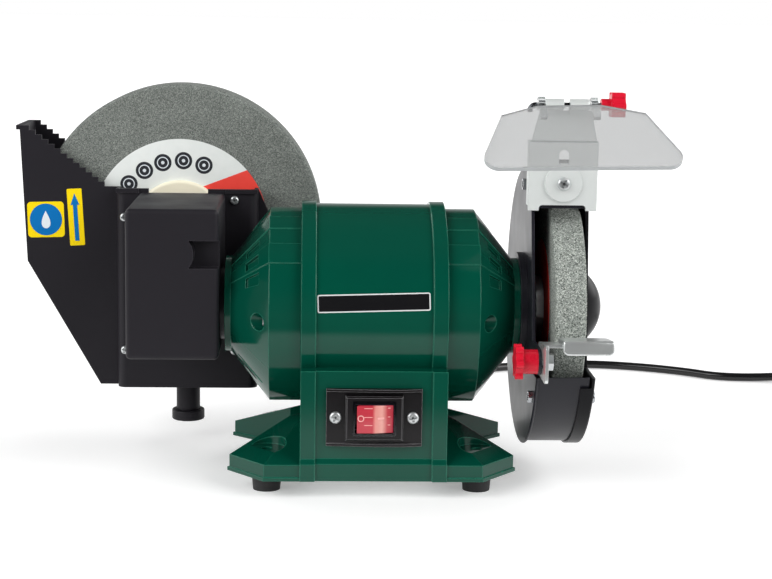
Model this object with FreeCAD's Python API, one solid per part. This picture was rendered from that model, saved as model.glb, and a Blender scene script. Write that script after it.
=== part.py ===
import FreeCAD
import Part
import math
import os

# Wet and dry bench grinder, in millimetres.
# Origin: on the bench, midway between the four bolt holes.
# X runs along the motor shaft towards the dry wheel, Y to the back, Z up.

V = FreeCAD.Vector

# Fits and gaps
FIT = 0.05
RUN = 0.06
PLAY = 0.3
SLIDE_GAP = 0.1

# Bench feet and bolt holes
BOLT_SPACING_X = 137.0
BOLT_SPACING_Y = 98.0
BOLT_HOLE_R = 3.25
FOOT_H = 11.8
FOOT_TOP_R = 9.9
FOOT_BOTTOM_R = 8.9

# Motor barrel and its two raised bands, with its axis set by what lies under it
BARREL_R = 67.5
BARREL_UNDER = 46.5
MOTOR_Z = BARREL_UNDER + BARREL_R
BARREL_WALL = 3.5
BARREL_HALF = 46.9
BAND_W = 9.4
BAND_RISE = 1.7

# End bells
BELL_R = 64.5
BELL_WALL = 3.5
BELL_CYLINDER_END = 67.5
BELL_CONE_END = 93.0
NECK_R = 32.0
NECK_END = 97.0
SPIGOT_L = 7.0
RIB_RISE = 0.7
RIB_ANGLES = ((33.0, 46.0), (58.0, 70.5))
VENT_ANGLES = ((22.0, 30.0), (36.0, 43.5), (49.0, 56.0))
VENT_RADII = (56.0, 45.0)
VENT_DEPTH = 1.6
SLOT_ANGLES = (-53.0, -68.0)
SLOT_RADII = (59.0, 38.0)
SLOT_SWEEP = 2.4

# Tie bolts through both bells
TIE_R = 2.5
TIE_CIRCLE_R = 55.0
TIE_TILT = -3.0
TIE_COUNT = 4
TIE_RECESS_R = 5.6
TIE_RECESS_FLOOR = 66.5
TIE_HEAD_R = 4.4
TIE_HEAD_H = 3.2
TIE_BOSS_R = 8.0

# Ball bearings
BEARING_OD = 35.0
BEARING_ID = 15.0
BEARING_W = 11.0
BEARING_IN = 80.0
OUTER_RACE_WALL = 3.0
INNER_RACE_WALL = 3.0
BALL_COUNT = 8

# Stator, rotor and motor shaft
STATOR_HALF = 30.0
STATOR_BORE_R = 34.0
WINDING_L = 14.0
WINDING_R = (37.0, 51.0)
AIR_GAP = 0.4
END_RING_L = 7.0
END_RING_R = (19.0, 31.0)
SHAFT_HOLE_R = 10.5
WORM_SHAFT_R = 5.0
ARBOR_R = 6.35
ARBOR_END = 150.5
COLLAR_R = 10.0
COLLAR_L = 4.0

# Pedestal and legs, one casting
PEDESTAL_TOP = 83.0
PEDESTAL_FACE_Y = 72.5
SKIRT_FACE_Y = 75.0
SKIRT_TOP = 23.0
SKIRT_SLOPE = 3.0
PEDESTAL_WALL = 4.5
SADDLE_GAP = 0.1
SADDLE_WALL = 4.5
LEG_EDGE_H = 10.5
LEG_CORNER = (70.0, 75.0)
LEG_TIP = (92.8, 47.5)
LEG_ROOT = (54.0, 12.0)
LEG_ROOT_Z = 40.0
LEG_CREST_Z = 43.0
LEG_WALL = 4.0
LEG_POCKET_R = 12.5
LEG_POCKET_FLOOR = 27.0
LEG_LIP = 1.0
LEG_LIP_H = 2.4
BOSS_R = 9.0
PLATE_T = 1.5
POST_R = 5.0
POST_PLACE = (35.0, 60.0)

# Capacitor inside the pedestal
CAPACITOR_R = 13.5
CAPACITOR_L = 62.0
CAPACITOR_Y = 30.0

# Rocker switch on the front
SWITCH_Z = 53.7
SWITCH_PLATE = (61.0, 37.0)
SWITCH_PLATE_T = 2.6
SWITCH_RIM_W = 1.7
SWITCH_RIM_LOW = 3.3
SWITCH_RIM_HIGH = 5.6
SWITCH_RIM_FLAT_X = (-0.3, 19.3)
SWITCH_BEZEL = (36.8, 28.8)
SWITCH_BEZEL_T = 4.5
SWITCH_BODY = (30.0, 22.5)
SWITCH_BODY_L = 13.0
SWITCH_FRAME = (27.4, 22.0)
SWITCH_FRAME_T = 1.6
ROCKER = (23.6, 17.8)
ROCKER_GAP = 0.5
ROCKER_TILT = 6.0
ROCKER_DEPTH = 6.0
ROCKER_PROUD = 2.6
SWITCH_SCREW_X = 24.6
PAN_HEAD_R = 3.9
PAN_HEAD_H = 2.4

# Worm gear and transfer gears
WORM_MODULE = 1.25
WORM_PITCH_R = 7.5
WORM_L = 24.0
WORM_WHEEL_TEETH = 22
WORM_WHEEL_W = 8.0
SPUR_MODULE = 1.0
SPUR_TEETH = 20
PINION_W = 12.0
OUTPUT_GEAR_W = 10.0
PINION_Y = 22.0
PRESSURE_ANGLE = 20.0
ADDENDUM = 0.8
DEDENDUM = 1.25
BACKLASH = 0.32
LAYSHAFT_R = 4.0
LAYSHAFT_BUSH_R = 6.5
WET_SHAFT_R = 8.0
WET_BUSH_R = 11.0

# Gear frame webs, from front to back, and the cover over them
WET_X = -133.0
FRONT_WEB_Y = (-26.0, -20.0)
MIDDLE_WEB_Y = (9.5, 15.5)
BACK_WEB_Y = (44.0, 58.0)
FRAME_PLATE_T = 4.5
FRAME_BOSS_R = 24.0
COVER_X = (-160.3, -100.3)
COVER_Y = (-41.0, 60.0)
COVER_UNDER = 31.0
COVER_OVER = 67.2
COVER_Z = (MOTOR_Z - COVER_UNDER, MOTOR_Z + COVER_OVER)
COVER_WALL = 2.5
COVER_EDGE_R = 3.0
FINGER_X = (-120.5, -96.0)
FINGER_Z = (143.0, 161.0)
FINGER_DEPTH = 12.0
FINGER_BULGE_R = 14.0

# Wet wheel and what holds it on its shaft
WET_WHEEL_R = 100.0
WET_WHEEL_W = 40.0
WET_BORE_R = 10.0
WET_EDGE = 2.0
WET_LABEL_R = 62.0
WET_FLANGE_R = 33.0
WET_FLANGE_T = 4.0
WET_SPIGOT_L = 15.0
WET_SEAT_R = 6.0
LABEL_T = 0.4
NUT_AF = 19.0
NUT_H = 8.0
THREAD_PROUD = 1.5

# Water trough, set out behind the barrel and around the wet wheel that turns in it
TROUGH_WALL = 2.4
TROUGH_SET_BACK = 2.3
TROUGH_FRONT_GAP = 7.5
TROUGH_BACK_GAP = 10.0
TROUGH_FLOOR_GAP = 12.25
TROUGH_LEFT_GAP = 6.4
TROUGH_LEFT_LEAN = 4.2
TROUGH_RIGHT_GAP = 5.0
TROUGH_TAPER = 44.0
TROUGH_LEFT_RISE = 70.75
TROUGH_BEND_DROP = 24.25
TROUGH_RIGHT_DROP = 33.25
TROUGH_RIM_RISE = 28.75
TROUGH_RIM_X = (-181.0, -78.0)
TROUGH_RIM_DROP_X = -71.0
TROUGH_RIM_DROP_RISE = 12.75
TROUGH_STEP_INSET = 6.6
TROUGH_STEPS = 13
PANEL_X = (-176.0, -78.0)
PANEL_EDGE_R = 6.0
TROUGH_SCREW_INSET = 16.0
TROUGH_SCREW_EDGE = 5.5
TROUGH_SCREW_LEFT_DROP = 20.0
TROUGH_SCREW_HEAD = (3.0, 2.2)
SHAFT_SLOT_R = 20.5
RIM_LIP_H = 3.0
RIM_LIP_T = 1.2
DRAIN_X = -128.4
DRAIN_INSET = 20.5
DRAIN_R = 8.5
DRAIN_BORE_R = 6.0
DRAIN_END = 16.5
CAP_R = 11.7
CAP_BOTTOM = 13.5
CAP_H = 7.5
CAP_FLOOR = 2.6

# Dry wheel and what holds it on its arbor
DRY_WHEEL_R = 75.0
DRY_WHEEL_W = 20.0
DRY_WHEEL_X = 114.0
DRY_LABEL_R = 45.0
DRY_FLANGE_R = 21.0
DRY_FLANGE_T = 5.0
DRY_EDGE = 1.0

# Wheel guard and its outer cover
GUARD_X = 101.2
GUARD_T = 2.0
GUARD_R = 90.5
GUARD_FLANGE_RISE = 1.8
GUARD_FLANGE_EDGE_R = 0.9
GUARD_BAND_END = 135.5
GUARD_COVER_X = 137.0
GUARD_COVER_T = 2.0
GUARD_RIM_L = 7.0
GUARD_RIM_T = 1.2
GUARD_RIM_GAP = 0.3
GUARD_HOLE_R = 12.5
MOUTH_LOW = 32.0
MOUTH_HIGH = 86.0
GUARD_MOUTH = ((-68.0, MOTOR_Z - MOUTH_LOW), (-34.0, MOTOR_Z + MOUTH_HIGH))
COVER_MOUTH = ((-50.0, MOTOR_Z - MOUTH_LOW), (-33.0, MOTOR_Z + MOUTH_HIGH))
RIM_END_DROP = 39.0
RIM_END_Z = MOTOR_Z - RIM_END_DROP
DOME_R = 26.0
DOME_L = 15.5
DOME_WALL = 2.0
SPACER_R = 36.0
GUARD_SCREW_WALL = 4.5
GUARD_SCREW_ANGLES = (90.0, 210.0, 330.0)
COVER_SCREW_ANGLES = (82.0, 205.0, 325.6)
COVER_SCREW_R = 84.0

# Spark arrester, which also carries the eye shield
TAB_Y = -52.0
TAB_T = 2.0
TAB_X = (104.0, 134.0)
TAB_RISE = (72.0, 102.0)
TAB_Z = (MOTOR_Z + TAB_RISE[0], MOTOR_Z + TAB_RISE[1])
ARRESTER_X = (97.0, 141.0)
ARRESTER_RISE = (70.5, 114.0)
ARRESTER_Z = (MOTOR_Z + ARRESTER_RISE[0], MOTOR_Z + ARRESTER_RISE[1])
ARRESTER_T = 1.5
ARRESTER_FLANGE_Y = 9.0
ARRESTER_NOTCH = (30.0, 3.5)
ARRESTER_NOTCH_R = 2.2
ARRESTER_SLOT = (-4.5, 17.0)
SPARK_SCREW_RISE = 88.0
SPARK_SCREW = (119.2, MOTOR_Z + SPARK_SCREW_RISE)
SPARK_SCREW_R = 3.0
SPARK_HEAD = (4.3, 3.0)
SPARK_WASHER_R = 12.0
WASHER_R = 8.0
WASHER_T = 1.5
ARM_BOTTOM = (98.0, 140.0)
ARM_TOP = (103.0, 136.0)
HINGE_Y = -58.0
HINGE_RISE = 138.0
HINGE_Z = MOTOR_Z + HINGE_RISE
HINGE_ROD_R = 1.6
KNUCKLE_R = 3.9
ARM_KNUCKLE_X = ((105.0, 117.2), (121.2, 133.4))
SHIELD_KNUCKLE_X = ((100.4, 104.7), (133.7, 138.0))
STAR_R = (3.9, 0.8)
ROD_X = (99.6, 151.0)
ROD_BEND_R = 3.6
ROD_HOOK = 2.0

# Eye shield
SHIELD_TILT = 40.2
SHIELD_T = 3.0
SHIELD_OUTLINE = (
    (98.4, 11.5),
    (138.2, 9.8),
    (166.0, 16.8),
    (190.0, 62.6),
    (59.0, 66.2),
    (75.7, 20.4),
)
SHIELD_CORNER_R = 9.0
SHIELD_OFFSET = 7.0
LUG_END = 19.0
LUG_T = 3.0
SHIELD_KNOB_X = (140.9, 146.8, 155.6)
SHIELD_KNOB_R = (4.3, 8.2)
SHIELD_KNOB_LOBE_R = 2.0

# Tool rest
REST_DROP = 20.5
REST_AXIS = (-90.0, MOTOR_Z - REST_DROP)
EAR_R = 8.0
EAR_ROOT_Y = -58.0
BRACKET_T = 2.0
BRACKET_CORNER_R = 3.0
BRACKET_Y = (-112.0, -76.0)
BRACKET_DROP = (30.5, 6.9)
BRACKET_Z = (MOTOR_Z - BRACKET_DROP[0], MOTOR_Z - BRACKET_DROP[1])
BRACKET_FLANGE_X = 124.0
BRACKET_FLANGE_INSET = (3.0, 2.0)
BRACKET_SLOT = (-99.0, -81.5)
REST_BOLT_R = 3.0
REST_BOLT_HEAD = (5.5, 4.0)
REST_X = (115.0, 147.0)
REST_Y = (-106.0, -78.0)
REST_T = 2.5
REST_LIP_H = 9.0
REST_TILT = 6.0
REST_CORNER_R = 3.5
REST_KNOB_X = (86.7, 91.6)
REST_KNOB_R = (9.2, 7.7)
REST_KNOB_LOBE_R = 2.4
KNOB_LOBES = 6

# Mains cord, its gland, coil, tie and plug
CORD_D = 6.8
CORD_FLOOR = 0.1
GLAND_X = 25.0
GLAND_Z = 36.5
GLAND_L = 25.0
GLAND_FLANGE = (9.5, 3.0)
GLAND_R = (7.0, 4.6)
GLAND_HOLE_R = 7.1
CORD_ROUTE = (
    (25.0, 137.0, 36.5),
    (27.0, 183.0, 16.5),
    (33.0, 228.0, 3.5),
    (52.0, 276.0, 3.5),
    (93.0, 318.0, 3.5),
    (147.0, 343.0, 3.5),
    (206.0, 351.0, 3.5),
    (252.0, 337.0, 3.5),
    (286.0, 318.0, 3.5),
    (306.0, 300.0, 3.5),
    (335.0, 296.0, 3.5),
    (368.0, 298.0, 4.5),
)
COIL_X = 407.0
COIL_OUTER_R = 49.0
COIL_PITCH = 9.0
COIL_IN_HALF_TURNS = 5
COIL_OUT_HALF_TURNS = 4
COIL_LAYER = 7.7
TIE_T = 0.9
TIE_W = 10.0
TIE_GAP = 0.6
COIL_TAIL = 34.0
PLUG_SIZE = (36.0, 36.0, 24.0)
PLUG_NOSE = 12.0
PIN_R = 2.4
PIN_L = 19.0
PIN_SPACING = 19.0

# Worked out from the sizes above
CORD_R = CORD_D / 2
SHAFT_R = BEARING_ID / 2
BEARING_OUT = BEARING_IN + BEARING_W
BORE_IN_BELL = BARREL_R - BARREL_WALL
WORM_WHEEL_R = WORM_MODULE * WORM_WHEEL_TEETH / 2
WORM_AXIAL_PITCH = math.pi * WORM_MODULE
SPUR_R = SPUR_MODULE * SPUR_TEETH / 2
LAYSHAFT_Z = MOTOR_Z + WORM_PITCH_R + WORM_WHEEL_R
WET_Z = LAYSHAFT_Z + 2 * SPUR_R
TROUGH_FRONT = BARREL_R + BAND_RISE + TROUGH_SET_BACK
WET_WHEEL_Y = TROUGH_FRONT + TROUGH_FRONT_GAP
WET_WHEEL_BACK = WET_WHEEL_Y + WET_WHEEL_W
TROUGH_BACK = WET_WHEEL_BACK + TROUGH_BACK_GAP
TROUGH_FLOOR = WET_Z - WET_WHEEL_R - TROUGH_FLOOR_GAP
TROUGH_RIM_Z = WET_Z + TROUGH_RIM_RISE
TROUGH_SCREW_SHANK = TROUGH_WALL + 4
TROUGH_LEFT = WET_X - WET_WHEEL_R - TROUGH_LEFT_GAP
TROUGH_LEFT_TOP = (TROUGH_LEFT - TROUGH_LEFT_LEAN, WET_Z + TROUGH_LEFT_RISE)
TROUGH_LEFT_BEND = (TROUGH_LEFT, WET_Z - TROUGH_BEND_DROP)
TROUGH_RIGHT_TOP = (WET_X + WET_WHEEL_R + TROUGH_RIGHT_GAP, WET_Z - TROUGH_RIGHT_DROP)
TROUGH_FLOOR_X = (WET_X - WET_WHEEL_R + TROUGH_TAPER, WET_X + WET_WHEEL_R - TROUGH_TAPER)
TROUGH_RIM_DROP = (TROUGH_RIM_DROP_X, WET_Z + TROUGH_RIM_DROP_RISE)
TROUGH_STEP_START = (TROUGH_LEFT_TOP[0] + TROUGH_STEP_INSET, TROUGH_LEFT_TOP[1])
DRAIN_Y = TROUGH_FRONT + DRAIN_INSET
GUARD_SCREW_CIRCLE_R = BEARING_OD / 2 + GUARD_SCREW_WALL
DRY_WHEEL_OUT = DRY_WHEEL_X + DRY_WHEEL_W
LEG_TOP = FOOT_H + LEG_EDGE_H
BOLT_PLACES = [
    (sx * BOLT_SPACING_X / 2, sy * BOLT_SPACING_Y / 2)
    for sx in (-1, 1)
    for sy in (-1, 1)
]
CONE_SLOPE = (BELL_R - NECK_R) / (BELL_CONE_END - BELL_CYLINDER_END)
GUARD_PLATE_END = GUARD_X + GUARD_T
COIL_Z = CORD_FLOOR + TIE_T + SLIDE_GAP + CORD_R

AXES = {"X": V(1, 0, 0), "Y": V(0, 1, 0), "Z": V(0, 0, 1)}


def at(axis, along, p):
    """The point at a distance along an axis, with p its two other coordinates in X, Y, Z order."""
    if axis == "X":
        return V(along, p[0], p[1])
    if axis == "Y":
        return V(p[0], along, p[1])
    return V(p[0], p[1], along)


def rod(axis, r, a, b, p):
    """A round bar from a to b along an axis."""
    return Part.makeCylinder(r, b - a, at(axis, a, p), AXES[axis])


def tube(axis, r_out, r_in, a, b, p):
    """A round tube from a to b along an axis."""
    return rod(axis, r_out, a, b, p).cut(rod(axis, r_in, a, b, p))


def taper(axis, r_a, r_b, a, b, p):
    """A round bar that changes radius from a to b."""
    return Part.makeCone(r_a, r_b, b - a, at(axis, a, p), AXES[axis])


def block(x, y, z):
    """A rectangular block between three pairs of limits."""
    return Part.makeBox(x[1] - x[0], y[1] - y[0], z[1] - z[0], V(x[0], y[0], z[0]))


def centred(p, size):
    """The limits of a length centred on a place."""
    return (p - size / 2, p + size / 2)


def prism(axis, outline, a, b):
    """An outline in the two other coordinates, extruded from a to b along an axis."""
    points = [at(axis, a, p) for p in outline]
    face = Part.Face(Part.makePolygon(points + points[:1]))
    return face.extrude(AXES[axis] * (b - a))


def turned(profile, sweep=360.0, start=0.0):
    """A profile of (x, radius) turned about the motor axis, from the top towards the front."""
    points = [V(x, 0, r) for x, r in profile]
    face = Part.Face(Part.makePolygon(points + points[:1]))
    solid = face.revolve(V(0, 0, 0), V(1, 0, 0), sweep)
    solid.rotate(V(0, 0, 0), V(1, 0, 0), start)
    solid.translate(V(0, 0, MOTOR_Z))
    return solid


def fused(shapes):
    """One solid from shapes that overlap."""
    return shapes[0].multiFuse(shapes[1:]).removeSplitter()


def group(shapes):
    """Separate solids in one node."""
    return Part.makeCompound([s for shape in shapes for s in shape.Solids])


def mirrored(shape):
    """The same shape on the other side of the plane X = 0."""
    return shape.mirror(V(0, 0, 0), V(1, 0, 0))


def on_circle(radius, angle):
    """Y and Z of a point about the motor axis, with the angle from the front upwards."""
    a = math.radians(angle)
    return (-radius * math.cos(a), MOTOR_Z + radius * math.sin(a))


def convex(points):
    """A closed solid from vertical walls under a faceted top: (x, y, bottom, top) round the outline."""
    low = [V(x, y, b) for x, y, b, _ in points]
    high = [V(x, y, t) for x, y, _, t in points]
    n = len(points)
    rings = [low[::-1]]
    rings += [[low[i], low[(i + 1) % n], high[(i + 1) % n], high[i]] for i in range(n)]
    rings += [[high[0], high[1], high[4]], [high[1], high[3], high[4]], [high[1], high[2], high[3]]]
    faces = [Part.Face(Part.makePolygon(ring + ring[:1])) for ring in rings]
    solid = Part.Solid(Part.Shell(faces))
    if solid.Volume < 0:
        solid.reverse()
    return solid


def inset(outline, wall):
    """A convex outline moved inwards by a wall."""
    n = len(outline)
    area = sum(
        outline[i][0] * outline[(i + 1) % n][1] - outline[(i + 1) % n][0] * outline[i][1]
        for i in range(n)
    )
    side = 1 if area > 0 else -1
    lines = []
    for i in range(n):
        (x0, y0), (x1, y1) = outline[i], outline[(i + 1) % n]
        length = math.hypot(x1 - x0, y1 - y0)
        nx, ny = -side * (y1 - y0) / length, side * (x1 - x0) / length
        lines.append((nx, ny, nx * x0 + ny * y0 + wall))
    corners = []
    for i in range(n):
        a0, b0, c0 = lines[i - 1]
        a1, b1, c1 = lines[i]
        det = a0 * b1 - a1 * b0
        corners.append(((c0 * b1 - c1 * b0) / det, (a0 * c1 - a1 * c0) / det))
    return corners


def pan_screw(axis, p, seat, out, shank_r, shank_l, head_r=PAN_HEAD_R, head_h=PAN_HEAD_H):
    """A pan head screw whose head stands on a seat, out being 1 or -1 along the axis."""
    top = seat + out * head_h
    end = seat - out * shank_l
    head = rod(axis, head_r, min(seat, top), max(seat, top), p)
    rim = [e for e in head.Edges if abs((e.CenterOfMass - at(axis, top, p)).Length) < head_r / 2]
    head = head.makeFillet(head_h * 0.4, rim)
    shank = rod(axis, shank_r, min(seat, end), max(seat, end), p)
    depth = head_h * 0.55
    slots = []
    for width, length in ((0.9, head_r * 1.3), (head_r * 1.3, 0.9)):
        u, w = centred(p[0], width), centred(p[1], length)
        along = (min(top, top - out * depth), max(top, top - out * depth))
        limits = {"X": (along, u, w), "Y": (u, along, w), "Z": (u, w, along)}[axis]
        slots.append(block(*limits))
    return fused([head, shank]).cut(fused(slots))


def hex_nut(axis, p, a, b, across, bore_r):
    """A hexagon nut from a to b along an axis."""
    r = across / math.sqrt(3)
    outline = [
        (p[0] + r * math.cos(math.radians(60 * i)), p[1] + r * math.sin(math.radians(60 * i)))
        for i in range(6)
    ]
    return prism(axis, outline, a, b).cut(rod(axis, bore_r, a, b, p))


def lobed(axis, p, a, b, r, lobe_r):
    """A star knob's head: a disc with round lobes."""
    lobes = [rod(axis, r, a, b, p)]
    for i in range(KNOB_LOBES):
        angle = math.radians(360 * i / KNOB_LOBES)
        place = (p[0] + r * math.cos(angle), p[1] + r * math.sin(angle))
        lobes.append(rod(axis, lobe_r, a, b, place))
    return fused(lobes)


# Pedestal, feet and what the pedestal holds


def pedestal_side(extra):
    """The pedestal's outline seen from the end."""
    skirt = SKIRT_FACE_Y + extra
    face = PEDESTAL_FACE_Y + extra
    front = [
        (-skirt, FOOT_H),
        (-skirt, SKIRT_TOP),
        (-face, SKIRT_TOP + SKIRT_SLOPE),
        (-face, PEDESTAL_TOP),
    ]
    return front + [(-y, z) for y, z in reversed(front)]


def leg(sx, sy):
    """One sloping leg with a lip round its foot, its bolt boss and a scoop that opens downhill."""
    places = [
        (BARREL_HALF - PEDESTAL_WALL, LEG_CORNER[1], LEG_TOP),
        (LEG_CORNER[0], LEG_CORNER[1], LEG_TOP),
        (LEG_TIP[0], LEG_TIP[1], LEG_TOP),
        (LEG_ROOT[0], LEG_ROOT[1], LEG_ROOT_Z),
        (BARREL_HALF - PEDESTAL_WALL, LEG_ROOT[1], LEG_CREST_Z),
    ]
    solid = convex([(sx * x, sy * y, FOOT_H, z) for x, y, z in places])
    outline = [(sx * x, sy * y) for x, y, _ in places]
    lip = prism("Z", inset(outline, -LEG_LIP), FOOT_H, FOOT_H + LEG_LIP_H)
    hollow = inset(outline, LEG_WALL)
    solid = fused([solid, lip]).cut(prism("Z", hollow, FOOT_H, LEG_TOP - LEG_WALL))
    p = (sx * BOLT_SPACING_X / 2, sy * BOLT_SPACING_Y / 2)
    solid = fused([solid, rod("Z", BOSS_R, FOOT_H, LEG_TOP - FIT, p)])
    solid = solid.cut(rod("Z", LEG_POCKET_R, LEG_POCKET_FLOOR, LEG_CREST_Z, p))
    return solid.cut(rod("Z", BOLT_HOLE_R, FOOT_H, LEG_CREST_Z, p))


def pedestal_base():
    """The casting that the motor lies in."""
    axis = (0, MOTOR_Z)
    inner = BARREL_HALF - BAND_W
    body = prism("X", pedestal_side(0), -BARREL_HALF, BARREL_HALF)
    bands = []
    for a, b in ((-BARREL_HALF, -inner), (inner, BARREL_HALF)):
        bands.append(prism("X", pedestal_side(BAND_RISE), a, b))
    legs = [leg(sx, sy) for sx in (-1, 1) for sy in (-1, 1)]
    y_in = PEDESTAL_FACE_Y - PEDESTAL_WALL
    x_in = BARREL_HALF - PEDESTAL_WALL
    cavity = block((-x_in, x_in), (-y_in, y_in), (0, PEDESTAL_TOP - PEDESTAL_WALL))
    saddle_r = BARREL_R + BAND_RISE + SADDLE_GAP + SADDLE_WALL
    cavity = cavity.cut(rod("X", saddle_r, -BARREL_HALF, BARREL_HALF, axis))
    solid = fused([body] + bands + legs).cut(cavity)
    posts = []
    for sx in (-1, 1):
        for sy in (-1, 1):
            p = (sx * POST_PLACE[0], sy * POST_PLACE[1])
            posts.append(rod("Z", POST_R, FOOT_H + PLATE_T, PEDESTAL_TOP - PEDESTAL_WALL, p))
    solid = fused([solid] + posts)
    barrel = rod("X", BARREL_R + SADDLE_GAP, -BARREL_HALF, BARREL_HALF, axis)
    solid = solid.cut(barrel)
    for a, b in ((-BARREL_HALF, -inner + SADDLE_GAP), (inner - SADDLE_GAP, BARREL_HALF)):
        solid = solid.cut(rod("X", BARREL_R + BAND_RISE + SADDLE_GAP, a, b, axis))
    opening = [centred(0, SWITCH_BODY[0] + 2 * PLAY), centred(SWITCH_Z, SWITCH_BODY[1] + 2 * PLAY)]
    solid = solid.cut(block(opening[0], (-SKIRT_FACE_Y, -y_in), opening[1]))
    for x in (-SWITCH_SCREW_X, SWITCH_SCREW_X):
        solid = solid.cut(rod("Y", TIE_R, -SKIRT_FACE_Y, -y_in, (x, SWITCH_Z)))
    solid = solid.cut(rod("Y", GLAND_HOLE_R, y_in - 1, SKIRT_FACE_Y, (GLAND_X, GLAND_Z)))
    for sx in (-1, 1):
        for sy in (-1, 1):
            p = (sx * POST_PLACE[0], sy * POST_PLACE[1])
            solid = solid.cut(rod("Z", TIE_R, FOOT_H, FOOT_H + PLATE_T + 10, p))
    return solid


def base_plate():
    """The sheet that closes the pedestal from below."""
    x_in = BARREL_HALF - PEDESTAL_WALL - PLAY
    y_in = PEDESTAL_FACE_Y - PEDESTAL_WALL - PLAY
    plate = block((-x_in, x_in), (-y_in, y_in), (FOOT_H, FOOT_H + PLATE_T))
    for sx in (-1, 1):
        for sy in (-1, 1):
            p = (sx * POST_PLACE[0], sy * POST_PLACE[1])
            plate = plate.cut(rod("Z", TIE_R, FOOT_H, FOOT_H + PLATE_T, p))
    return plate


def base_plate_screws():
    places = [(sx * POST_PLACE[0], sy * POST_PLACE[1]) for sx in (-1, 1) for sy in (-1, 1)]
    return group([pan_screw("Z", p, FOOT_H, -1, TIE_R - FIT, PLATE_T + 8) for p in places])


def rubber_feet():
    feet = []
    for p in BOLT_PLACES:
        foot = taper("Z", FOOT_BOTTOM_R, FOOT_TOP_R, 0, FOOT_H, p)
        feet.append(foot.cut(rod("Z", BOLT_HOLE_R, 0, FOOT_H, p)))
    return group(feet)


def capacitor():
    z = FOOT_H + PLATE_T + SLIDE_GAP + CAPACITOR_R
    can = rod("X", CAPACITOR_R, -CAPACITOR_L / 2, CAPACITOR_L / 2, (CAPACITOR_Y, z))
    return can.makeFillet(1.5, [e for e in can.Edges if e.Closed])


# Motor


def motor_barrel():
    inner = BARREL_HALF - BAND_W
    band_r = BARREL_R + BAND_RISE
    half = [(inner, BARREL_R), (inner, band_r), (BARREL_HALF, band_r), (BARREL_HALF, BORE_IN_BELL)]
    return turned(half + [(-x, r) for x, r in reversed(half)])


def cone_x(r):
    """Where the bell's cone has a radius."""
    return BELL_CYLINDER_END + (BELL_R - r) / CONE_SLOPE


def cone_patch(radii, rise, depth, low, high):
    """A patch of the cone's wall between two angles, from a rise above it to a depth below it."""
    length = math.hypot(CONE_SLOPE, 1)
    nx, nr = CONE_SLOPE / length, 1 / length
    ends = [(cone_x(r), r) for r in radii]
    profile = [(x + nx * rise, r + nr * rise) for x, r in ends]
    profile += [(x - nx * depth, r - nr * depth) for x, r in reversed(ends)]
    front = turned(profile, high - low, 90 - high)
    back = turned(profile, high - low, low - 90)
    return [front, back]


def bell_rib(low, high):
    """A raised strip that runs along the bell's cylinder and down its cone, at the front and the back."""
    profile = [
        (BARREL_HALF, BELL_R - 1),
        (BARREL_HALF, BELL_R + RIB_RISE),
        (BELL_CYLINDER_END + RIB_RISE / 2, BELL_R + RIB_RISE),
        (BELL_CONE_END, NECK_R + RIB_RISE),
        (BELL_CONE_END, NECK_R - 1),
        (BELL_CYLINDER_END, BELL_R - 1),
    ]
    return [turned(profile, high - low, 90 - high), turned(profile, high - low, low - 90)]


def tie_places():
    return [on_circle(TIE_CIRCLE_R, TIE_TILT + 360 * i / TIE_COUNT) for i in range(TIE_COUNT)]


def right_end_bell():
    """A hollow bell with a spigot in the barrel and a bearing seat in its neck."""
    start = BARREL_HALF - SPIGOT_L
    spigot_r = BORE_IN_BELL - FIT
    inner_r = BELL_R - BELL_WALL
    shift = BELL_WALL * math.hypot(CONE_SLOPE, 1) / CONE_SLOPE
    outer = [
        (start, spigot_r),
        (BARREL_HALF, spigot_r),
        (BARREL_HALF, BELL_R),
        (BELL_CYLINDER_END, BELL_R),
        (BELL_CONE_END, NECK_R),
        (NECK_END, NECK_R),
    ]
    filled = turned(outer + [(NECK_END, 0), (start, 0)])
    cavity = [
        (start, inner_r),
        (cone_x(inner_r) - shift, inner_r),
        (BEARING_IN, BELL_R - (BEARING_IN + shift - BELL_CYLINDER_END) * CONE_SLOPE),
        (BEARING_IN, 0),
        (start, 0),
    ]
    solid = filled.cut(turned(cavity))
    ribs = [rib for low, high in RIB_ANGLES for rib in bell_rib(low, high)]
    bosses = []
    for p in tie_places():
        bosses.append(filled.common(rod("X", TIE_BOSS_R, start, NECK_END, p)))
    stator_end = STATOR_HALF + WINDING_L + 2
    bosses = [b.cut(block((0, stator_end), (-99, 99), (0, 220))) for b in bosses]
    solid = fused([solid] + ribs + bosses)
    for p in tie_places():
        solid = solid.cut(rod("X", TIE_R + FIT, start, NECK_END, p))
        solid = solid.cut(rod("X", TIE_RECESS_R, TIE_RECESS_FLOOR, NECK_END, p))
    for low, high in VENT_ANGLES:
        for pocket in cone_patch(VENT_RADII, 3, VENT_DEPTH, low, high):
            solid = solid.cut(pocket)
    for angle in SLOT_ANGLES:
        for slot in cone_patch(SLOT_RADII, 3, VENT_DEPTH, angle, angle + SLOT_SWEEP):
            solid = solid.cut(slot)
    axis = (0, MOTOR_Z)
    solid = solid.cut(rod("X", BEARING_OD / 2 + FIT, BEARING_IN - 1, BEARING_OUT, axis))
    solid = solid.cut(rod("X", SHAFT_HOLE_R, BEARING_IN, NECK_END, axis))
    for angle in GUARD_SCREW_ANGLES:
        p = on_circle(GUARD_SCREW_CIRCLE_R, angle)
        solid = solid.cut(rod("X", TIE_R, NECK_END - 12, NECK_END, p))
    return solid


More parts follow.
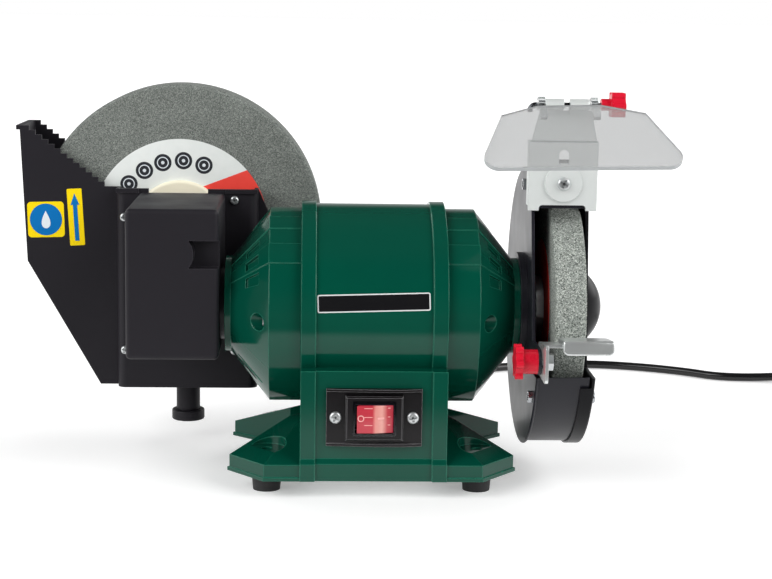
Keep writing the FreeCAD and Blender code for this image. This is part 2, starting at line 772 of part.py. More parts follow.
def tie_bolts():
    """Four bolts with their heads in the right bell and their nuts in the left one."""
    pieces = []
    for p in tie_places():
        bolt = pan_screw("X", p, TIE_RECESS_FLOOR, 1, TIE_R, 2 * TIE_RECESS_FLOOR + 5, TIE_HEAD_R, TIE_HEAD_H)
        nut = hex_nut("X", p, -TIE_RECESS_FLOOR - TIE_HEAD_H, -TIE_RECESS_FLOOR, 8, TIE_R + FIT)
        pieces += [bolt, nut]
    return group(pieces)


def ball_bearings():
    """The outer races and the balls of both bearings."""
    axis = (0, MOTOR_Z)
    outer = BEARING_OD / 2
    ball_r = (outer - OUTER_RACE_WALL - SHAFT_R - INNER_RACE_WALL) / 2 - RUN
    ring_r = (outer - OUTER_RACE_WALL + SHAFT_R + INNER_RACE_WALL) / 2
    pieces = []
    for a in (-BEARING_OUT, BEARING_IN):
        pieces.append(tube("X", outer, outer - OUTER_RACE_WALL, a, a + BEARING_W, axis))
        for i in range(BALL_COUNT):
            y, z = on_circle(ring_r, 360 * i / BALL_COUNT)
            pieces.append(Part.makeSphere(ball_r, V(a + BEARING_W / 2, y, z)))
    return group(pieces)


def bearing_inner_races():
    axis = (0, MOTOR_Z)
    r = SHAFT_R + INNER_RACE_WALL
    rings = [tube("X", r, SHAFT_R + FIT, a, a + BEARING_W, axis) for a in (-BEARING_OUT, BEARING_IN)]
    return group(rings)


def stator_core():
    axis = (0, MOTOR_Z)
    core = tube("X", BORE_IN_BELL - FIT, STATOR_BORE_R, -STATOR_HALF, STATOR_HALF, axis)
    for p in tie_places():
        core = core.cut(rod("X", TIE_R + PLAY, -STATOR_HALF, STATOR_HALF, p))
    return core


def stator_windings():
    axis = (0, MOTOR_Z)
    rings = []
    for a in (-STATOR_HALF - WINDING_L, STATOR_HALF):
        ring = tube("X", WINDING_R[1], WINDING_R[0], a, a + WINDING_L, axis)
        rings.append(ring.makeFillet(3, [e for e in ring.Edges if e.Closed]))
    return group(rings)


def motor_shaft():
    """One stepped shaft: worm seat, two bearing seats, collar and arbor."""
    axis = (0, MOTOR_Z)
    collar = DRY_WHEEL_X - LABEL_T - DRY_FLANGE_T
    worm_end = WET_X - WORM_L / 2 - THREAD_PROUD
    return fused(
        [
            rod("X", SHAFT_R, -BEARING_OUT, BEARING_OUT, axis),
            rod("X", WORM_SHAFT_R, worm_end, -BEARING_OUT, axis),
            rod("X", SHAFT_R, BEARING_OUT, collar, axis),
            rod("X", COLLAR_R, collar - COLLAR_L, collar, axis),
            rod("X", ARBOR_R, collar, ARBOR_END, axis),
        ]
    )


def rotor_core():
    axis = (0, MOTOR_Z)
    r = STATOR_BORE_R - AIR_GAP
    core = tube("X", r, SHAFT_R + FIT, -STATOR_HALF, STATOR_HALF, axis)
    rings = []
    for a in (-STATOR_HALF - END_RING_L, STATOR_HALF):
        rings.append(tube("X", END_RING_R[1], END_RING_R[0], a, a + END_RING_L, axis))
    return fused([core] + rings)


# Gears


def tooth_outline(module, teeth, phase):
    """Straight sided teeth thinned for backlash, one of them at the phase angle."""
    pitch_r = module * teeth / 2
    slope = math.tan(math.radians(PRESSURE_ANGLE))
    thick = math.pi * module / 2 - BACKLASH
    points = []
    for i in range(teeth):
        middle = math.radians(phase) + 2 * math.pi * i / teeth
        for side, level in ((-1, -DEDENDUM), (-1, ADDENDUM), (1, ADDENDUM), (1, -DEDENDUM)):
            r = pitch_r + level * module
            half = (thick / 2 - level * module * slope) / r
            points.append((r, middle + side * half))
    return points


def spur_gear(module, teeth, phase, p, a, b, bore_r):
    rim = tooth_outline(module, teeth, phase)
    outline = [(p[0] + r * math.cos(t), p[1] + r * math.sin(t)) for r, t in rim]
    return prism("Y", outline, a, b).cut(rod("Y", bore_r, a, b, p))


def worm_wheel():
    """Teeth that lean by the worm's lead angle, as a loft through turned outlines."""
    lean = WORM_AXIAL_PITCH / (2 * math.pi * WORM_PITCH_R) / WORM_WHEEL_R
    half_gap = 180 / WORM_WHEEL_TEETH
    outline = tooth_outline(WORM_MODULE, WORM_WHEEL_TEETH, -90 + half_gap)
    wires = []
    for y in (-WORM_WHEEL_W / 2, 0, WORM_WHEEL_W / 2):
        turn = -lean * y
        points = [
            V(WET_X + r * math.cos(t + turn), y, LAYSHAFT_Z + r * math.sin(t + turn))
            for r, t in outline
        ]
        wires.append(Part.makePolygon(points + points[:1]))
    solid = Part.makeLoft(wires, True, True)
    return solid.cut(rod("Y", LAYSHAFT_R, -WORM_WHEEL_W, WORM_WHEEL_W, (WET_X, LAYSHAFT_Z)))


def worm():
    """A single start worm, with a crest above the axis at the worm wheel's middle."""
    slope = math.tan(math.radians(PRESSURE_ANGLE))
    root_r = WORM_PITCH_R - DEDENDUM * WORM_MODULE
    tip_r = WORM_PITCH_R + ADDENDUM * WORM_MODULE
    sunk_r = root_r - 0.3
    thick = WORM_AXIAL_PITCH / 2 - BACKLASH
    half_tip = (thick - 2 * (tip_r - WORM_PITCH_R) * slope) / 2
    half_root = (thick + 2 * (WORM_PITCH_R - sunk_r) * slope) / 2
    turns = math.ceil(WORM_L / WORM_AXIAL_PITCH) + 2
    turns += turns % 2
    height = turns * WORM_AXIAL_PITCH
    corners = ((sunk_r, -half_root), (tip_r, -half_tip), (tip_r, half_tip), (sunk_r, half_root))
    profile = [V(r, 0, z) for r, z in corners]
    wire = Part.makePolygon(profile + profile[:1])
    helix = Part.makeHelix(WORM_AXIAL_PITCH, height, WORM_PITCH_R)
    thread = Part.Wire(helix).makePipeShell([wire], True, True)
    thread.translate(V(0, 0, -height / 2))
    thread = thread.common(Part.makeCylinder(tip_r + 1, WORM_L, V(0, 0, -WORM_L / 2)))
    core = Part.makeCylinder(root_r, WORM_L, V(0, 0, -WORM_L / 2))
    solid = core.fuse(thread).cut(Part.makeCylinder(WORM_SHAFT_R, WORM_L, V(0, 0, -WORM_L / 2)))
    turn = FreeCAD.Matrix(0, 0, 1, WET_X, 0, -1, 0, 0, 1, 0, 0, MOTOR_Z, 0, 0, 0, 1)
    return solid.transformed(turn)


def layshaft():
    return rod("Y", LAYSHAFT_R - FIT, FRONT_WEB_Y[0], BACK_WEB_Y[1], (WET_X, LAYSHAFT_Z))


def layshaft_pinion():
    p = (WET_X, LAYSHAFT_Z)
    return spur_gear(SPUR_MODULE, SPUR_TEETH, 90, p, PINION_Y, PINION_Y + PINION_W, LAYSHAFT_R)


def output_gear():
    p = (WET_X, WET_Z)
    a = PINION_Y + (PINION_W - OUTPUT_GEAR_W) / 2
    phase = -90 + 180 / SPUR_TEETH
    return spur_gear(SPUR_MODULE, SPUR_TEETH, phase, p, a, a + OUTPUT_GEAR_W, WET_SHAFT_R + FIT)


def gear_bushes():
    """Plain bushes for the layshaft and the wet wheel's shaft."""
    pieces = []
    for a, b in (FRONT_WEB_Y, BACK_WEB_Y):
        pieces.append(tube("Y", LAYSHAFT_BUSH_R, LAYSHAFT_R - FIT + RUN, a, b, (WET_X, LAYSHAFT_Z)))
    for a, b in (MIDDLE_WEB_Y, BACK_WEB_Y):
        pieces.append(tube("Y", WET_BUSH_R, WET_SHAFT_R + RUN, a, b, (WET_X, WET_Z)))
    return group(pieces)


def gear_frame():
    """Three webs on a side plate, bolted to the left bell's neck."""
    x_plate = (COVER_X[1] - COVER_WALL - SLIDE_GAP - FRAME_PLATE_T, COVER_X[1] - COVER_WALL - SLIDE_GAP)
    x_web = (COVER_X[0] + COVER_WALL + 1, x_plate[1])
    top = COVER_Z[1] - COVER_WALL - 1
    low = COVER_Z[0] + COVER_WALL + 1
    clear_worm = MOTOR_Z + WORM_PITCH_R + 3
    frame = [
        block(x_plate, (FRONT_WEB_Y[0], BACK_WEB_Y[1]), (low, top)),
        block(x_web, FRONT_WEB_Y, (clear_worm, top)),
        block(x_web, MIDDLE_WEB_Y, (clear_worm, top)),
        block(x_web, BACK_WEB_Y, (low, top)),
        rod("X", FRAME_BOSS_R, x_plate[1] - 1, -NECK_END, (0, MOTOR_Z)),
    ]
    solid = fused(frame)
    solid = solid.cut(rod("X", SHAFT_HOLE_R, x_plate[0], -NECK_END, (0, MOTOR_Z)))
    for a, b in (FRONT_WEB_Y, BACK_WEB_Y):
        solid = solid.cut(rod("Y", LAYSHAFT_BUSH_R + FIT, a, b, (WET_X, LAYSHAFT_Z)))
    for a, b in (MIDDLE_WEB_Y, BACK_WEB_Y):
        solid = solid.cut(rod("Y", WET_BUSH_R + FIT, a, b, (WET_X, WET_Z)))
    a, b = MIDDLE_WEB_Y
    solid = solid.cut(rod("Y", LAYSHAFT_R + PLAY, a, b, (WET_X, LAYSHAFT_Z)))
    return solid


def finger_pocket(extra):
    """The grip pocket in the cover's front, with a bulging left end."""
    x = (FINGER_X[0] - extra, FINGER_X[1])
    y = (COVER_Y[0] - 1, COVER_Y[0] + FINGER_DEPTH + extra)
    z = (FINGER_Z[0] - extra, FINGER_Z[1] + extra)
    pocket = block(x, y, z)
    middle = (FINGER_X[0] + 4 - FINGER_BULGE_R, sum(FINGER_Z) / 2)
    return pocket.cut(rod("Y", FINGER_BULGE_R - extra, y[0], y[1], middle))


def gear_cover():
    """A box open at the back, over the gears."""
    box = block(COVER_X, COVER_Y, COVER_Z)
    edges = [e for e in box.Edges if e.BoundBox.YMin < COVER_Y[1] - 1]
    box = box.makeFillet(COVER_EDGE_R, edges)
    inner = block(
        (COVER_X[0] + COVER_WALL, COVER_X[1] - COVER_WALL),
        (COVER_Y[0] + COVER_WALL, COVER_Y[1]),
        (COVER_Z[0] + COVER_WALL, COVER_Z[1] - COVER_WALL),
    )
    shell = box.cut(inner.cut(finger_pocket(COVER_WALL)))
    shell = shell.cut(finger_pocket(0))
    return shell.cut(rod("X", FRAME_BOSS_R + PLAY, COVER_X[1] - COVER_WALL, COVER_X[1], (0, MOTOR_Z)))


# Water trough


def tub_outline(top):
    """The tub's convex outline from the front, up to a height."""
    return [
        (TROUGH_FLOOR_X[1], TROUGH_FLOOR),
        TROUGH_RIGHT_TOP,
        (TROUGH_RIGHT_TOP[0], top),
        (TROUGH_LEFT_TOP[0], top),
        TROUGH_LEFT_TOP,
        TROUGH_LEFT_BEND,
        (TROUGH_FLOOR_X[0], TROUGH_FLOOR),
    ]


def above_rim(top):
    """What lies above the rim: a stair on the left, a level stretch, then a drop to the right."""
    x0, z0 = TROUGH_STEP_START
    dx = (TROUGH_RIM_X[0] - x0) / TROUGH_STEPS
    dz = (TROUGH_RIM_Z - z0) / TROUGH_STEPS
    stair = [(TROUGH_LEFT_TOP[0] - 9, z0)]
    for i in range(TROUGH_STEPS):
        stair += [(x0 + i * dx, z0 + i * dz), (x0 + i * dx, z0 + (i + 1) * dz)]
    rest = [
        TROUGH_RIM_X_END,
        TROUGH_RIM_DROP,
        (TROUGH_RIM_DROP[0] + 18, TROUGH_RIGHT_TOP[1]),
        (TROUGH_RIGHT_TOP[0] + 9, TROUGH_RIGHT_TOP[1]),
        (TROUGH_RIGHT_TOP[0] + 9, top),
        (TROUGH_LEFT_TOP[0] - 9, top),
    ]
    return stair + [(TROUGH_RIM_X[0], TROUGH_RIM_Z)] + rest


TROUGH_RIM_X_END = (TROUGH_RIM_X[1], TROUGH_RIM_Z)


def trough():
    """A moulded tub with a raised panel towards the gears, a shaft slot and a drain."""
    top = TROUGH_LEFT_TOP[1] + 20
    outer = tub_outline(top)
    inner = inset(outer[:2] + [(outer[2][0], top + 9), (outer[3][0], top + 9)] + outer[4:], TROUGH_WALL)
    panel = block(PANEL_X, (COVER_Y[1], TROUGH_BACK), (TROUGH_FLOOR, TROUGH_RIM_Z))
    uprights = [e for e in panel.Edges if e.BoundBox.ZLength > 1 and e.BoundBox.YMin < TROUGH_FRONT]
    panel = panel.makeFillet(PANEL_EDGE_R, uprights)
    panel_in = block(
        (PANEL_X[0] + TROUGH_WALL, PANEL_X[1] - TROUGH_WALL),
        (COVER_Y[1] + TROUGH_WALL, TROUGH_BACK - TROUGH_WALL),
        (TROUGH_FLOOR + TROUGH_WALL, top + 9),
    )
    uprights = [e for e in panel_in.Edges if e.BoundBox.ZLength > 1 and e.BoundBox.YMin < TROUGH_FRONT]
    panel_in = panel_in.makeFillet(PANEL_EDGE_R - TROUGH_WALL, uprights)
    body = fused([prism("Y", outer, TROUGH_FRONT, TROUGH_BACK), panel])
    lip = block(
        PANEL_X,
        (COVER_Y[1] - RIM_LIP_T, COVER_Y[1] + 1),
        (TROUGH_RIM_Z - RIM_LIP_H, TROUGH_RIM_Z),
    )
    side_lip = block(
        (TROUGH_LEFT_TOP[0] - RIM_LIP_T * 2, TROUGH_LEFT_TOP[0] + 1),
        (TROUGH_FRONT, TROUGH_BACK),
        (TROUGH_LEFT_TOP[1] - RIM_LIP_H, TROUGH_LEFT_TOP[1]),
    )
    lip = lip.cut(block(COVER_X, (0, COVER_Y[1]), (0, top)))
    pipe_p = (DRAIN_X, DRAIN_Y)
    body = fused([body, lip, side_lip, rod("Z", DRAIN_R, DRAIN_END, TROUGH_FLOOR + 1, pipe_p)])
    body = body.cut(prism("Y", above_rim(top + 30), 0, TROUGH_BACK + 30))
    body = body.cut(prism("Y", inner, TROUGH_FRONT + TROUGH_WALL, TROUGH_BACK - TROUGH_WALL))
    body = body.cut(panel_in)
    body = body.cut(rod("Z", DRAIN_BORE_R, DRAIN_END, TROUGH_FLOOR + TROUGH_WALL, pipe_p))
    slot_x = centred(WET_X, 2 * SHAFT_SLOT_R)
    slot = [
        rod("Y", SHAFT_SLOT_R, 0, TROUGH_BACK + 30, (WET_X, WET_Z)),
        block(slot_x, (0, TROUGH_BACK + 30), (WET_Z, top)),
    ]
    body = body.cut(fused(slot))
    for p in trough_screw_places():
        body = body.cut(rod("Y", TIE_R, COVER_Y[1] - 5, COVER_Y[1] + TROUGH_SCREW_SHANK + FIT, p))
    return body


def trough_screw_places():
    left = PANEL_X[0] + TROUGH_SCREW_EDGE
    right = PANEL_X[1] - TROUGH_SCREW_INSET
    high = TROUGH_RIM_Z - 7.5
    low = TROUGH_FLOOR + 27
    return [(left, TROUGH_RIM_Z - TROUGH_SCREW_LEFT_DROP), (left, low), (right, high), (right, low)]


def trough_screws():
    head = TROUGH_SCREW_HEAD
    places = trough_screw_places()
    return group([pan_screw("Y", p, COVER_Y[1], -1, TIE_R - FIT, TROUGH_SCREW_SHANK, *head) for p in places])


def drain_cap():
    p = (DRAIN_X, DRAIN_Y)
    cap = rod("Z", CAP_R, CAP_BOTTOM, CAP_BOTTOM + CAP_H, p)
    cap = cap.makeFillet(1.2, [e for e in cap.Edges if e.Closed])
    return cap.cut(rod("Z", DRAIN_R + PLAY, CAP_BOTTOM + CAP_FLOOR, CAP_BOTTOM + CAP_H, p))


# Wet wheel


def wet_shaft():
    """A stepped shaft from the middle web to the wheel's nut."""
    p = (WET_X, WET_Z)
    shoulder = WET_WHEEL_Y - LABEL_T - WET_FLANGE_T
    end = WET_WHEEL_BACK + LABEL_T + WET_FLANGE_T + NUT_H + THREAD_PROUD
    bar = [
        rod("Y", WET_SHAFT_R, MIDDLE_WEB_Y[0], shoulder, p),
        rod("Y", WET_SEAT_R, shoulder - 1, end, p),
    ]
    return fused(bar)


def wet_wheel():
    p = (WET_X, WET_Z)
    stone = rod("Y", WET_WHEEL_R, WET_WHEEL_Y, WET_WHEEL_BACK, p)
    stone = stone.makeChamfer(WET_EDGE, [e for e in stone.Edges if e.Closed])
    return stone.cut(rod("Y", WET_BORE_R, WET_WHEEL_Y, WET_WHEEL_BACK, p))


def wet_wheel_labels():
    p = (WET_X, WET_Z)
    front = tube("Y", WET_LABEL_R, WET_BORE_R, WET_WHEEL_Y - LABEL_T, WET_WHEEL_Y, p)
    back = tube("Y", WET_LABEL_R, WET_BORE_R, WET_WHEEL_BACK, WET_WHEEL_BACK + LABEL_T, p)
    return group([front, back])


def wet_wheel_flanges():
    """Two moulded hubs that meet the wheel's faces and fill its bore."""
    p = (WET_X, WET_Z)
    pieces = []
    for face, out in ((WET_WHEEL_Y - LABEL_T, -1), (WET_WHEEL_BACK + LABEL_T, 1)):
        outer = face + out * WET_FLANGE_T
        a, b = sorted((face, outer))
        disc = rod("Y", WET_FLANGE_R, a, b, p)
        far = [e for e in disc.Edges if e.Closed and abs(e.CenterOfMass.y - outer) < 0.1]
        disc = disc.makeFillet(WET_FLANGE_T / 2, far)
        c, d = sorted((face, face - out * WET_SPIGOT_L))
        spigot = rod("Y", WET_BORE_R - FIT, c, d, p)
        pieces.append(fused([disc, spigot]).cut(rod("Y", WET_SEAT_R + FIT, min(a, c), max(b, d), p)))
    return group(pieces)


def wet_wheel_nut():
    a = WET_WHEEL_BACK + LABEL_T + WET_FLANGE_T
    return hex_nut("Y", (WET_X, WET_Z), a, a + NUT_H, NUT_AF, WET_SEAT_R + FIT)


# Dry wheel, guard and cover


def dry_wheel():
    axis = (0, MOTOR_Z)
    stone = rod("X", DRY_WHEEL_R, DRY_WHEEL_X, DRY_WHEEL_OUT, axis)
    stone = stone.makeChamfer(DRY_EDGE, [e for e in stone.Edges if e.Closed])
    return stone.cut(rod("X", ARBOR_R + FIT, DRY_WHEEL_X, DRY_WHEEL_OUT, axis))


def dry_wheel_labels():
    axis = (0, MOTOR_Z)
    left = tube("X", DRY_LABEL_R, ARBOR_R + FIT, DRY_WHEEL_X - LABEL_T, DRY_WHEEL_X, axis)
    right = tube("X", DRY_LABEL_R, ARBOR_R + FIT, DRY_WHEEL_OUT, DRY_WHEEL_OUT + LABEL_T, axis)
    return group([left, right])


def dry_wheel_flanges():
    """Two dished flanges that grip the wheel at their rims."""
    axis = (0, MOTOR_Z)
    pieces = []
    for face, out in ((DRY_WHEEL_X - LABEL_T, -1), (DRY_WHEEL_OUT + LABEL_T, 1)):
        a, b = sorted((face, face + out * DRY_FLANGE_T))
        dish = sorted((face, face + out * 1.2))
        disc = tube("X", DRY_FLANGE_R, ARBOR_R + FIT, a, b, axis)
        pieces.append(disc.cut(tube("X", DRY_FLANGE_R * 0.7, ARBOR_R + 2, dish[0], dish[1], axis)))
    return group(pieces)


def dry_wheel_nut():
    a = DRY_WHEEL_OUT + LABEL_T + DRY_FLANGE_T
    return hex_nut("X", (0, MOTOR_Z), a, a + NUT_H, NUT_AF, ARBOR_R + FIT)


def guard_spacer():
    axis = (0, MOTOR_Z)
    disc = tube("X", SPACER_R, GUARD_HOLE_R, NECK_END, GUARD_X, axis)
    for angle in GUARD_SCREW_ANGLES:
        disc = disc.cut(rod("X", TIE_R, NECK_END, GUARD_X, on_circle(GUARD_SCREW_CIRCLE_R, angle)))
    return disc


def mouth(corners, a, b):
    """A front opening in the guard, between two planes."""
    (y0, z0), (y1, z1) = corners
    return prism("X", [(-150, z0), (y0, z0), (y1, z1), (y1, z1 + 60), (-150, z1 + 60)], a, b)


def wheel_guard():
    """The inner plate with its band, a tab for the spark arrester and an ear for the tool rest."""
    axis = (0, MOTOR_Z)
    plate = rod("X", GUARD_R + GUARD_FLANGE_RISE, GUARD_X, GUARD_PLATE_END, axis)
    edges = [e for e in plate.Edges if e.BoundBox.XLength < GUARD_T / 2]
    plate = plate.makeFillet(GUARD_FLANGE_EDGE_R, edges)
    band = tube("X", GUARD_R, GUARD_R - GUARD_T, GUARD_PLATE_END - FIT, GUARD_BAND_END, axis)
    solid = fused([plate, band]).cut(mouth(GUARD_MOUTH, GUARD_X, GUARD_BAND_END))
    shelf_z = MOTOR_Z + math.sqrt((GUARD_R - GUARD_T) ** 2 - GUARD_MOUTH[1][0] ** 2)
    tab = [
        block(TAB_X, (TAB_Y, TAB_Y + TAB_T), TAB_Z),
        block(TAB_X, (TAB_Y, GUARD_MOUTH[1][0] + 3), centred(shelf_z, TAB_T)),
        rod("X", EAR_R, GUARD_X, GUARD_PLATE_END, REST_AXIS),
        block((GUARD_X, GUARD_PLATE_END), (REST_AXIS[0], EAR_ROOT_Y), centred(REST_AXIS[1], 2 * EAR_R)),
    ]
    solid = fused([solid] + tab)
    solid = solid.cut(rod("X", GUARD_HOLE_R, GUARD_X, GUARD_PLATE_END, axis))
    for angle in GUARD_SCREW_ANGLES:
        p = on_circle(GUARD_SCREW_CIRCLE_R, angle)
        solid = solid.cut(rod("X", TIE_R, GUARD_X, GUARD_PLATE_END, p))
    for angle in COVER_SCREW_ANGLES:
        p = on_circle(COVER_SCREW_R, angle)
        solid = solid.cut(rod("X", TIE_R, GUARD_X, GUARD_PLATE_END, p))
    solid = solid.cut(rod("X", REST_BOLT_R + PLAY, GUARD_X, GUARD_PLATE_END, REST_AXIS))
    return solid.cut(rod("Y", SPARK_SCREW_R + FIT, TAB_Y, TAB_Y + TAB_T, SPARK_SCREW))


def guard_cover():
    """The outer disc with a rim over the band and a dome over the nut."""
    axis = (0, MOTOR_Z)
    rim_r = GUARD_R + GUARD_RIM_GAP
    outer_r = rim_r + GUARD_RIM_T
    x_out = GUARD_COVER_X + GUARD_COVER_T
    disc = rod("X", outer_r, GUARD_COVER_X, x_out, axis)
    disc = disc.makeFillet(1.1, [e for e in disc.Edges if e.Closed and e.CenterOfMass.x > GUARD_COVER_X + 1])
    disc = disc.cut(mouth(COVER_MOUTH, GUARD_COVER_X, x_out))
    rim = tube("X", outer_r, rim_r, GUARD_COVER_X - GUARD_RIM_L, GUARD_COVER_X + FIT, axis)
    rim_mouth = ((COVER_MOUTH[0][0], RIM_END_Z), COVER_MOUTH[1])
    rim = rim.cut(mouth(rim_mouth, 0, x_out))
    dome_r = (DOME_R**2 + DOME_L**2) / (2 * DOME_L)
    centre = V(x_out + DOME_L - dome_r, 0, MOTOR_Z)
    outside = rod("X", GUARD_R, x_out - 1, x_out + DOME_L, axis)
    dome = Part.makeSphere(dome_r, centre).common(outside)
    solid = fused([disc, rim, dome]).cut(Part.makeSphere(dome_r - DOME_WALL, centre))
    for angle in COVER_SCREW_ANGLES:
        p = on_circle(COVER_SCREW_R, angle)
        solid = solid.cut(rod("X", TIE_R, GUARD_COVER_X, x_out, p))
    return solid


def guard_screws():
    """Three screws in the bell's neck, and three long ones that hold the cover."""
    pieces = []
    for angle in GUARD_SCREW_ANGLES:
        p = on_circle(GUARD_SCREW_CIRCLE_R, angle)
        pieces.append(pan_screw("X", p, GUARD_PLATE_END, 1, TIE_R - FIT, 14))
    x_out = GUARD_COVER_X + GUARD_COVER_T
    for angle in COVER_SCREW_ANGLES:
        p = on_circle(COVER_SCREW_R, angle)
        long = pan_screw("X", p, x_out, 1, TIE_R - FIT, x_out - GUARD_X + 1)
        pieces.append(long)
        pieces.append(hex_nut("X", p, GUARD_X - 3, GUARD_X, 7, TIE_R - FIT + 0.02))
    return group(pieces)


# Spark arrester and eye shield


def spark_arrester():
    """A slotted plate with a side flange, two feet and an arm up to the hinge's rolled knuckles."""
    y = (TAB_Y - SLIDE_GAP - ARRESTER_T, TAB_Y - SLIDE_GAP)
    plate = block(ARRESTER_X, y, ARRESTER_Z)
    flange = block(
        (ARRESTER_X[0], ARRESTER_X[0] + ARRESTER_T),
        (y[0], y[1] + ARRESTER_FLANGE_Y),
        (ARRESTER_Z[0] + 3, ARRESTER_Z[1]),
    )
    arm = prism(
        "Y",
        [
            (ARM_BOTTOM[0], ARRESTER_Z[1] - 1),
            (ARM_BOTTOM[1], ARRESTER_Z[1] - 1),
            (ARM_TOP[1], HINGE_Z - KNUCKLE_R - 1),
            (ARM_TOP[0], HINGE_Z - KNUCKLE_R - 1),
        ],
        y[0],
        y[1],
    )
    hinge = (HINGE_Y, HINGE_Z)
    pieces = [plate, flange, arm]
    for a, b in ARM_KNUCKLE_X:
        leaf_y = (HINGE_Y + KNUCKLE_R - ARRESTER_T, y[1])
        pieces.append(block((a, b), leaf_y, (HINGE_Z - KNUCKLE_R - 3, HINGE_Z)))
        pieces.append(rod("X", KNUCKLE_R, a, b, hinge))
    solid = fused(pieces)
    solid = solid.cut(rod("X", HINGE_ROD_R + FIT, ARM_KNUCKLE_X[0][0], ARM_KNUCKLE_X[1][1], hinge))
    x, z = SPARK_SCREW
    half = SPARK_SCREW_R + PLAY
    ends = (z + ARRESTER_SLOT[0], z + ARRESTER_SLOT[1])
    slot = [
        rod("Y", half, y[0], y[1], (x, ends[0])),
        rod("Y", half, y[0], y[1], (x, ends[1])),
        block((x - half, x + half), y, ends),
    ]
    notch = block(
        centred(sum(ARRESTER_X) / 2, ARRESTER_NOTCH[0]),
        y,
        (ARRESTER_Z[0], ARRESTER_Z[0] + ARRESTER_NOTCH[1]),
    )
    upper = [e for e in notch.Edges if e.BoundBox.YLength > 1 and e.BoundBox.ZMin > ARRESTER_Z[0] + 1]
    notch = notch.makeFillet(ARRESTER_NOTCH_R, upper)
    return solid.cut(fused(slot)).cut(notch)


def spark_screw():
    """A pan head screw with a wide washer, through the arrester's slot into the tab."""
    face = TAB_Y - 2 * SLIDE_GAP - ARRESTER_T
    washer = tube("Y", SPARK_WASHER_R, SPARK_SCREW_R + FIT, face - WASHER_T, face, SPARK_SCREW)
    length = TAB_Y + TAB_T + 4 - face + WASHER_T
    screw = pan_screw("Y", SPARK_SCREW, face - WASHER_T, -1, SPARK_SCREW_R, length, *SPARK_HEAD)
    return group([washer, screw])


def shield_place(shape):
    """Moves a shape from (x, down the shield, inwards) to its place at the hinge."""
    shape.rotate(V(0, 0, 0), V(1, 0, 0), 180 + SHIELD_TILT)
    shape.translate(V(0, HINGE_Y, HINGE_Z))
    return shape


def eye_shield():
    """A clear sheet in front of the hinge, wider at its lower edge."""
    low = max(u for _, u in SHIELD_OUTLINE)
    points = [V(x, u, -SHIELD_OFFSET) for x, u in SHIELD_OUTLINE]
    sheet = Part.Face(Part.makePolygon(points + points[:1])).extrude(V(0, 0, -SHIELD_T))
    corners = [
        e for e in sheet.Edges if e.BoundBox.ZLength > SHIELD_T / 2 and e.BoundBox.YMin > low * 0.8
    ]
    sheet = sheet.makeFillet(SHIELD_CORNER_R, corners)
    return shield_place(sheet)


def shield_hinge():
    """Two star shaped knuckles, each on a lug that the sheet is bonded to."""
    z = (-SHIELD_OFFSET, -SHIELD_OFFSET + LUG_T)
    lugs = []
    for a, b in SHIELD_KNUCKLE_X:
        lug = fused([lobed("X", (0, 0), a, b, *STAR_R), block((a, b), (0, LUG_END), z)])
        lugs.append(shield_place(lug.cut(rod("X", HINGE_ROD_R + RUN, a, b, (0, 0)))))
    return group(lugs)


def hinge_rod():
    """The hinge's rod, bent down at its left end."""
    hinge = (HINGE_Y, HINGE_Z)
    section = Part.Wire(Part.makeCircle(HINGE_ROD_R, V(ROD_X[0], HINGE_Y, HINGE_Z), V(1, 0, 0)))
    low = HINGE_Z - ROD_BEND_R
    bend = Part.Face(section).revolve(V(ROD_X[0], HINGE_Y, low), V(0, 1, 0), -90)
    return fused(
        [
            rod("X", HINGE_ROD_R, ROD_X[0], ROD_X[1], hinge),
            bend,
            rod("Z", HINGE_ROD_R, low - ROD_HOOK, low, (ROD_X[0] - ROD_BEND_R, HINGE_Y)),
        ]
    )


def shield_knob():
    hinge = (HINGE_Y, HINGE_Z)
    a, b, c = SHIELD_KNOB_X
    neck = rod("X", SHIELD_KNOB_R[0], a, b, hinge)
    head = lobed("X", hinge, b, c, SHIELD_KNOB_R[1] - SHIELD_KNOB_LOBE_R / 2, SHIELD_KNOB_LOBE_R)
    return fused([neck, head]).cut(rod("X", HINGE_ROD_R + RUN, a, ROD_X[1] + PLAY, hinge))


# Tool rest


def rest_tilted(shape):
    """Tips a level shape back by the rest's slope, about the rest's front edge."""
    shape.rotate(V(0, REST_Y[0], BRACKET_Z[1]), V(1, 0, 0), -REST_TILT)
    return shape


def tool_rest_bracket():
    """A slotted angle that slides along the ear."""
    x = (GUARD_PLATE_END + SLIDE_GAP, GUARD_PLATE_END + SLIDE_GAP + BRACKET_T)
    tops = [BRACKET_Z[1] - FIT - (y - REST_Y[0]) * math.tan(math.radians(REST_TILT)) for y in BRACKET_Y]
    corners = [(BRACKET_Y[0], BRACKET_Z[0]), (BRACKET_Y[1], BRACKET_Z[0])]
    corners += [(BRACKET_Y[1], tops[1]), (BRACKET_Y[0], tops[0])]
    web = prism("X", corners, *x)
    web = web.makeFillet(BRACKET_CORNER_R, [e for e in web.Edges if e.BoundBox.XLength > BRACKET_T / 2])
    flange_y = (REST_Y[0] + BRACKET_FLANGE_INSET[0], REST_Y[1] - BRACKET_FLANGE_INSET[1])
    flange_z = (BRACKET_Z[1] - BRACKET_T, BRACKET_Z[1])
    flange = rest_tilted(block((x[0], BRACKET_FLANGE_X), flange_y, flange_z))
    half = REST_BOLT_R + PLAY
    z = REST_AXIS[1]
    slot = [
        rod("X", half, x[0], x[1], (BRACKET_SLOT[0], z)),
        rod("X", half, x[0], x[1], (BRACKET_SLOT[1], z)),
        block(x, BRACKET_SLOT, (z - half, z + half)),
    ]
    return fused([web, flange]).cut(fused(slot))


